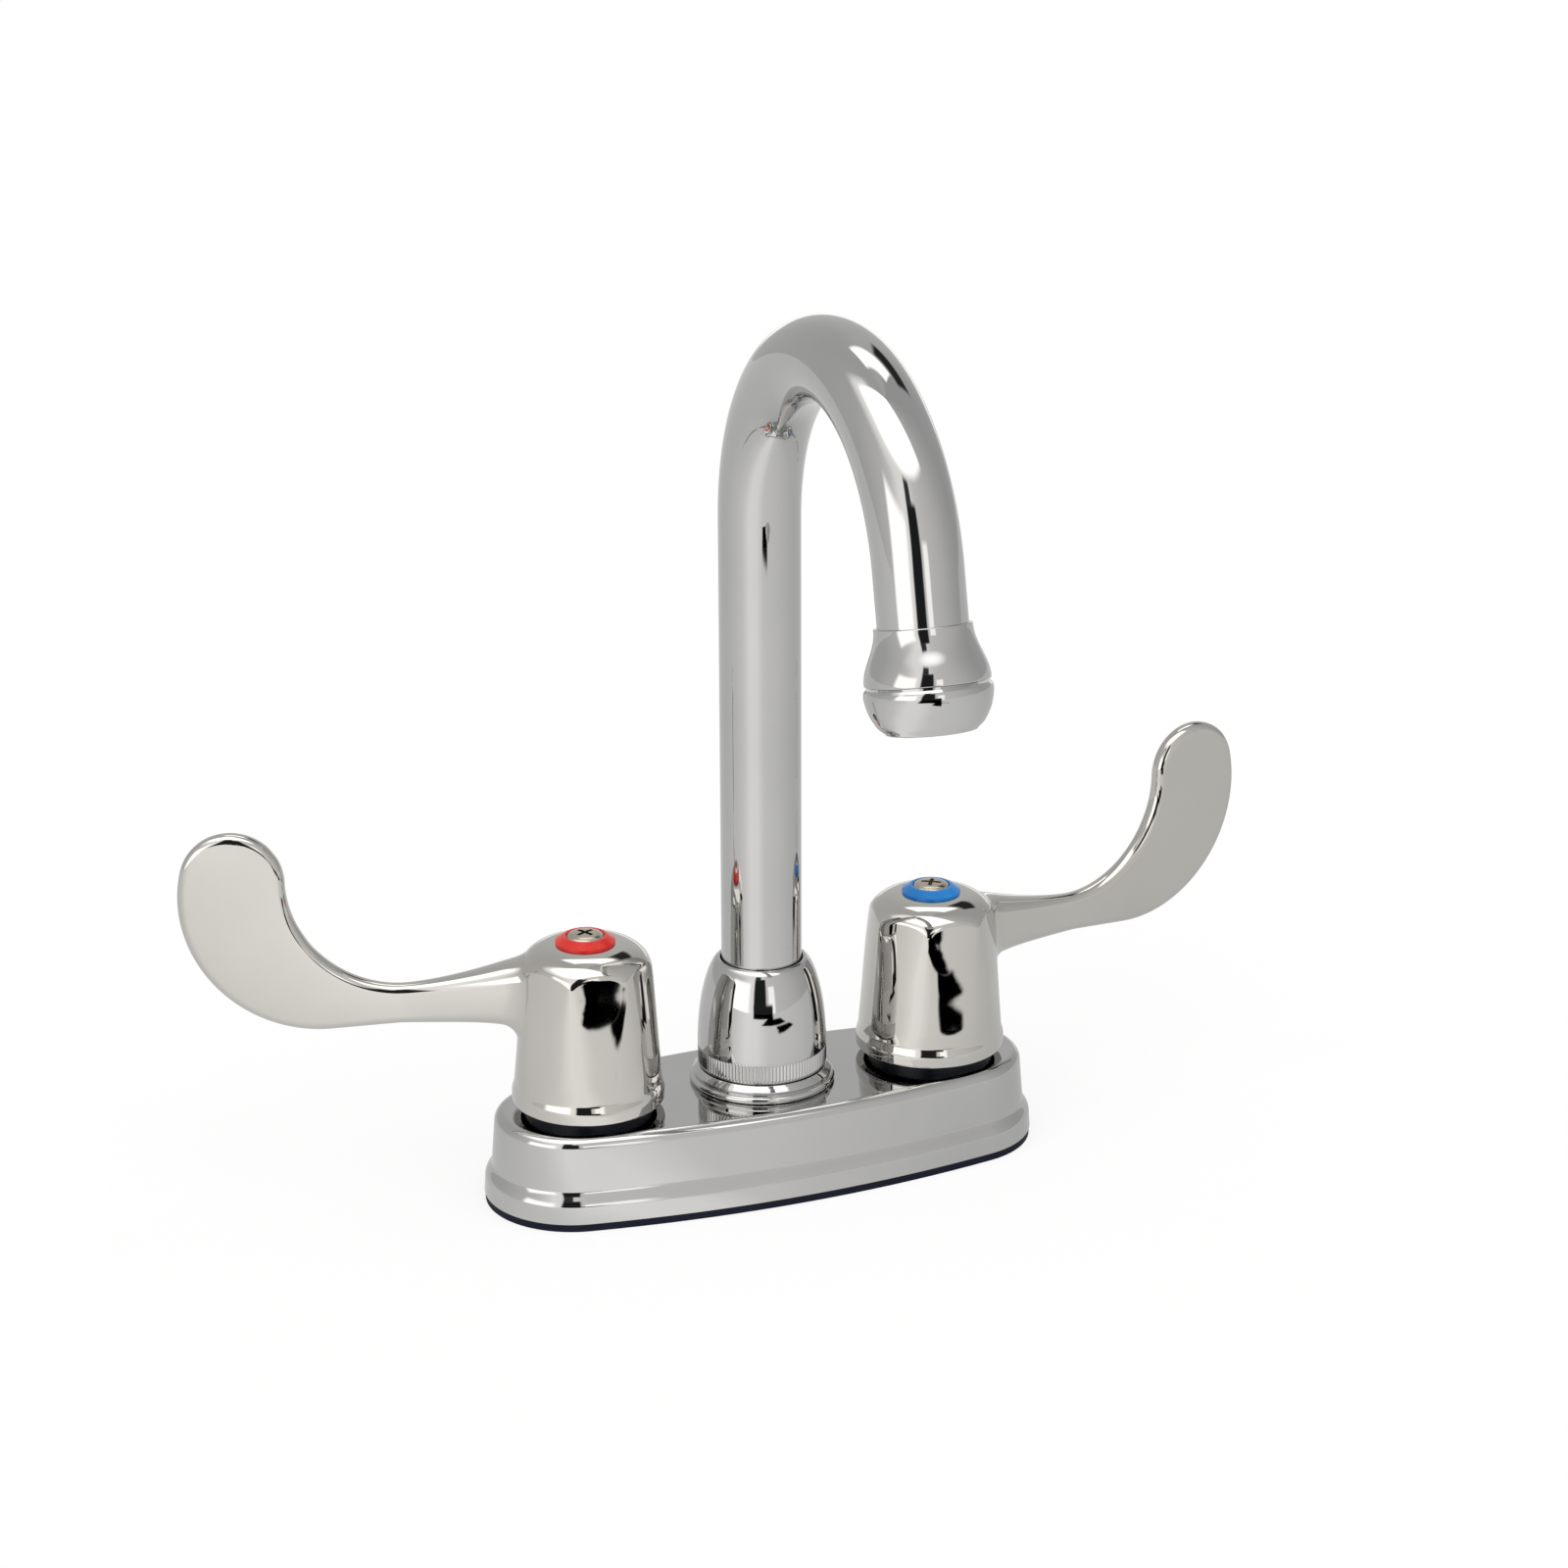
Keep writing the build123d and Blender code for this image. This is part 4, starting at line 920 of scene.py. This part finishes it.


# level of the tent's light by bearing, for the world, and painted on to the floor as mirrored rays
# see it; the ramp holds half the levels, so it is doubled
def aroundRamp(tree, vector):
    axes = addNode(tree, "SeparateXYZ", Vector=vector).outputs
    toUser = mathNode(tree, "MULTIPLY", axes["Y"], -1.0)
    angle = mathNode(tree, "ARCTAN2", axes["X"], toUser)
    bearing = mathNode(tree, "MULTIPLY", angle, degrees(1))
    share = mathNode(tree, "MULTIPLY_ADD", angle, 1 / (2 * pi), 0.5)
    ramp = addNode(tree, "ValToRGB", Fac=share)
    elements = ramp.color_ramp.elements
    while len(elements) < len(light["around"]):
        elements.new(0.5)
    for element, (turn, level) in zip(elements, light["around"]):
        element.position = (turn + 180) / 360
        element.color = [channel / 2 for channel in tone(level)]
    color = mathNode(tree, "MULTIPLY", ramp.outputs["Color"], [2.0] * 3, kind="VectorMath",
                     output="Vector")
    return bearing, axes, color


def lightTheScene():
    world = bpy.data.worlds.new("softTent")
    bpy.context.scene.world = world
    world.use_nodes = True
    tree = world.node_tree
    tree.nodes.clear()
    bearing, axes, color = aroundRamp(tree, addNode(tree, "TexCoord").outputs["Generated"])
    lift = mathNode(tree, "MULTIPLY", mathNode(tree, "ARCSINE", axes["Z"]), degrees(1))
    for _, middle, half, height, halfHeight, level, soft in light["patches"]:
        mask = softPatch(tree, bearing, lift, middle, half, height, halfHeight, soft, True)
        color = addNode(tree, "MixRGB", Fac=mask, Color1=color, Color2=tone(level)).outputs["Color"]
    tent, fill, white = (addNode(tree, "Background", Color=shade).outputs["Background"]
                         for shade in (color, tone(light["fill"]), (1, 1, 1, 1)))
    path = addNode(tree, "LightPath").outputs
    mirrored = mixShaders(tree, path["Is Glossy Ray"], fill, tent)
    addNode(tree, "OutputWorld", Surface=mixShaders(tree, path["Is Camera Ray"], mirrored, white))
    for name, place, strength in light["suns"]:
        data = bpy.data.lights.new(name, "SUN")
        data.energy, data.angle = strength, radians(light["sunSpread"])
        lamp = bpy.data.objects.new(name, data)
        lamp.matrix_world = Vector(place).to_track_quat("Z", "Y").to_matrix().to_4x4()
        lamp.visible_glossy = False
        bpy.context.scene.collection.objects.link(lamp)


lightTheScene()


# Floor: plain and pale. The camera sees it white, with the shadow kept. Mirrored rays see it glow
# with painted light, the tent's levels by bearing and painted dark patches, also with the shadow
# kept.

floor = dict(half=3.0, tone=0.94, roughness=0.9, seenShare=0.78, mirroredShare=0.67)


# painted shade that takes away from the floor's level in mirrors: a painted dark strip, a painted
# dark front far off and a painted reflection of a dark room
def floorPaintedShade(tree, place, bearing, axes):
    gap = softPatch(tree, axes["X"], axes["Y"], *light["paintedFloorStrip"])
    middle, half, soft, distance, edge = light["paintedFloorFront"]
    beyond = addNode(tree, "MapRange", Value=mathNode(tree, "LENGTH", place, kind="VectorMath"),
                     From_Min=distance - edge, From_Max=distance + edge)
    front = mathNode(tree, "MULTIPLY", beyond.outputs["Result"],
                     softBand(tree, bearing, middle, half, soft, True))
    gap = mathNode(tree, "MAXIMUM", gap, front)
    scale, reach = light["ragged"]
    wander = addNode(tree, "TexNoise", Vector=place, Scale=scale).outputs["Color"]
    shifted = mathNode(tree, "MULTIPLY_ADD", wander, [reach] * 3, place, kind="VectorMath",
                       output="Vector")
    ragged = addNode(tree, "SeparateXYZ", Vector=shifted).outputs
    facing = addNode(tree, "LayerWeight").outputs["Facing"]
    # each patch here is a painted reflection of a dark room, strongest where the floor is seen at a
    # glance
    for x, halfX, y, halfY, soft, *glance in light["paintedFloorRoom"]:
        room = softPatch(tree, ragged["X"], ragged["Y"], x + reach / 2, halfX, y + reach / 2,
                         halfY, soft)
        room = mathNode(tree, "MULTIPLY", room, softBand(tree, facing, *glance))
        gap = mathNode(tree, "MAXIMUM", gap, room)
    return gap


def layFloor():
    half = floor["half"]
    mesh = bpy.data.meshes.new("paleFloor")
    mesh.from_pydata([(-half, -half, 0), (half, -half, 0), (half, half, 0), (-half, half, 0)], [],
                     [(0, 1, 2, 3)])
    material, tree, shader, place = newMaterial(
        "paleFloor", Base_Color=(*[floor["tone"]] * 3, 1), Roughness=floor["roughness"],
        Specular_IOR_Level=0.0)
    # the floor's colour in mirrors is painted light: the tent's levels by bearing, darkened by
    # painted shade
    bearing, axes, color = aroundRamp(tree, place)
    gap = floorPaintedShade(tree, place, bearing, axes)
    color = addNode(tree, "MixRGB", Fac=gap, Color1=color, Color2=tone(0.0)).outputs["Color"]
    # the camera's floor is plain white; the second emission makes the floor glow with the painted
    # light in mirrors
    white, tent = (addNode(tree, "Emission", Color=shade).outputs["Emission"]
                   for shade in ((1, 1, 1, 1), color))
    path = addNode(tree, "LightPath").outputs
    seen = mixShaders(tree, mathNode(tree, "MULTIPLY", path["Is Camera Ray"], floor["seenShare"]),
                      shader.outputs["BSDF"], white)
    # mirrored rays see the floor's painted light, and wholly so where the painted shade lies
    dark = mathNode(tree, "MULTIPLY_ADD", gap, 1 - floor["mirroredShare"], floor["mirroredShare"])
    mirrored = mixShaders(tree, mathNode(tree, "MULTIPLY", path["Is Glossy Ray"], dark), seen, tent)
    tree.links.new(mirrored, tree.nodes["Material Output"].inputs["Surface"])
    mesh.materials.append(material)
    ground = bpy.data.objects.new("paleFloor", mesh)
    bpy.context.scene.collection.objects.link(ground)


layFloor()
print("light and floor set")

scene = bpy.context.scene
scene.view_settings.view_transform = "Standard"
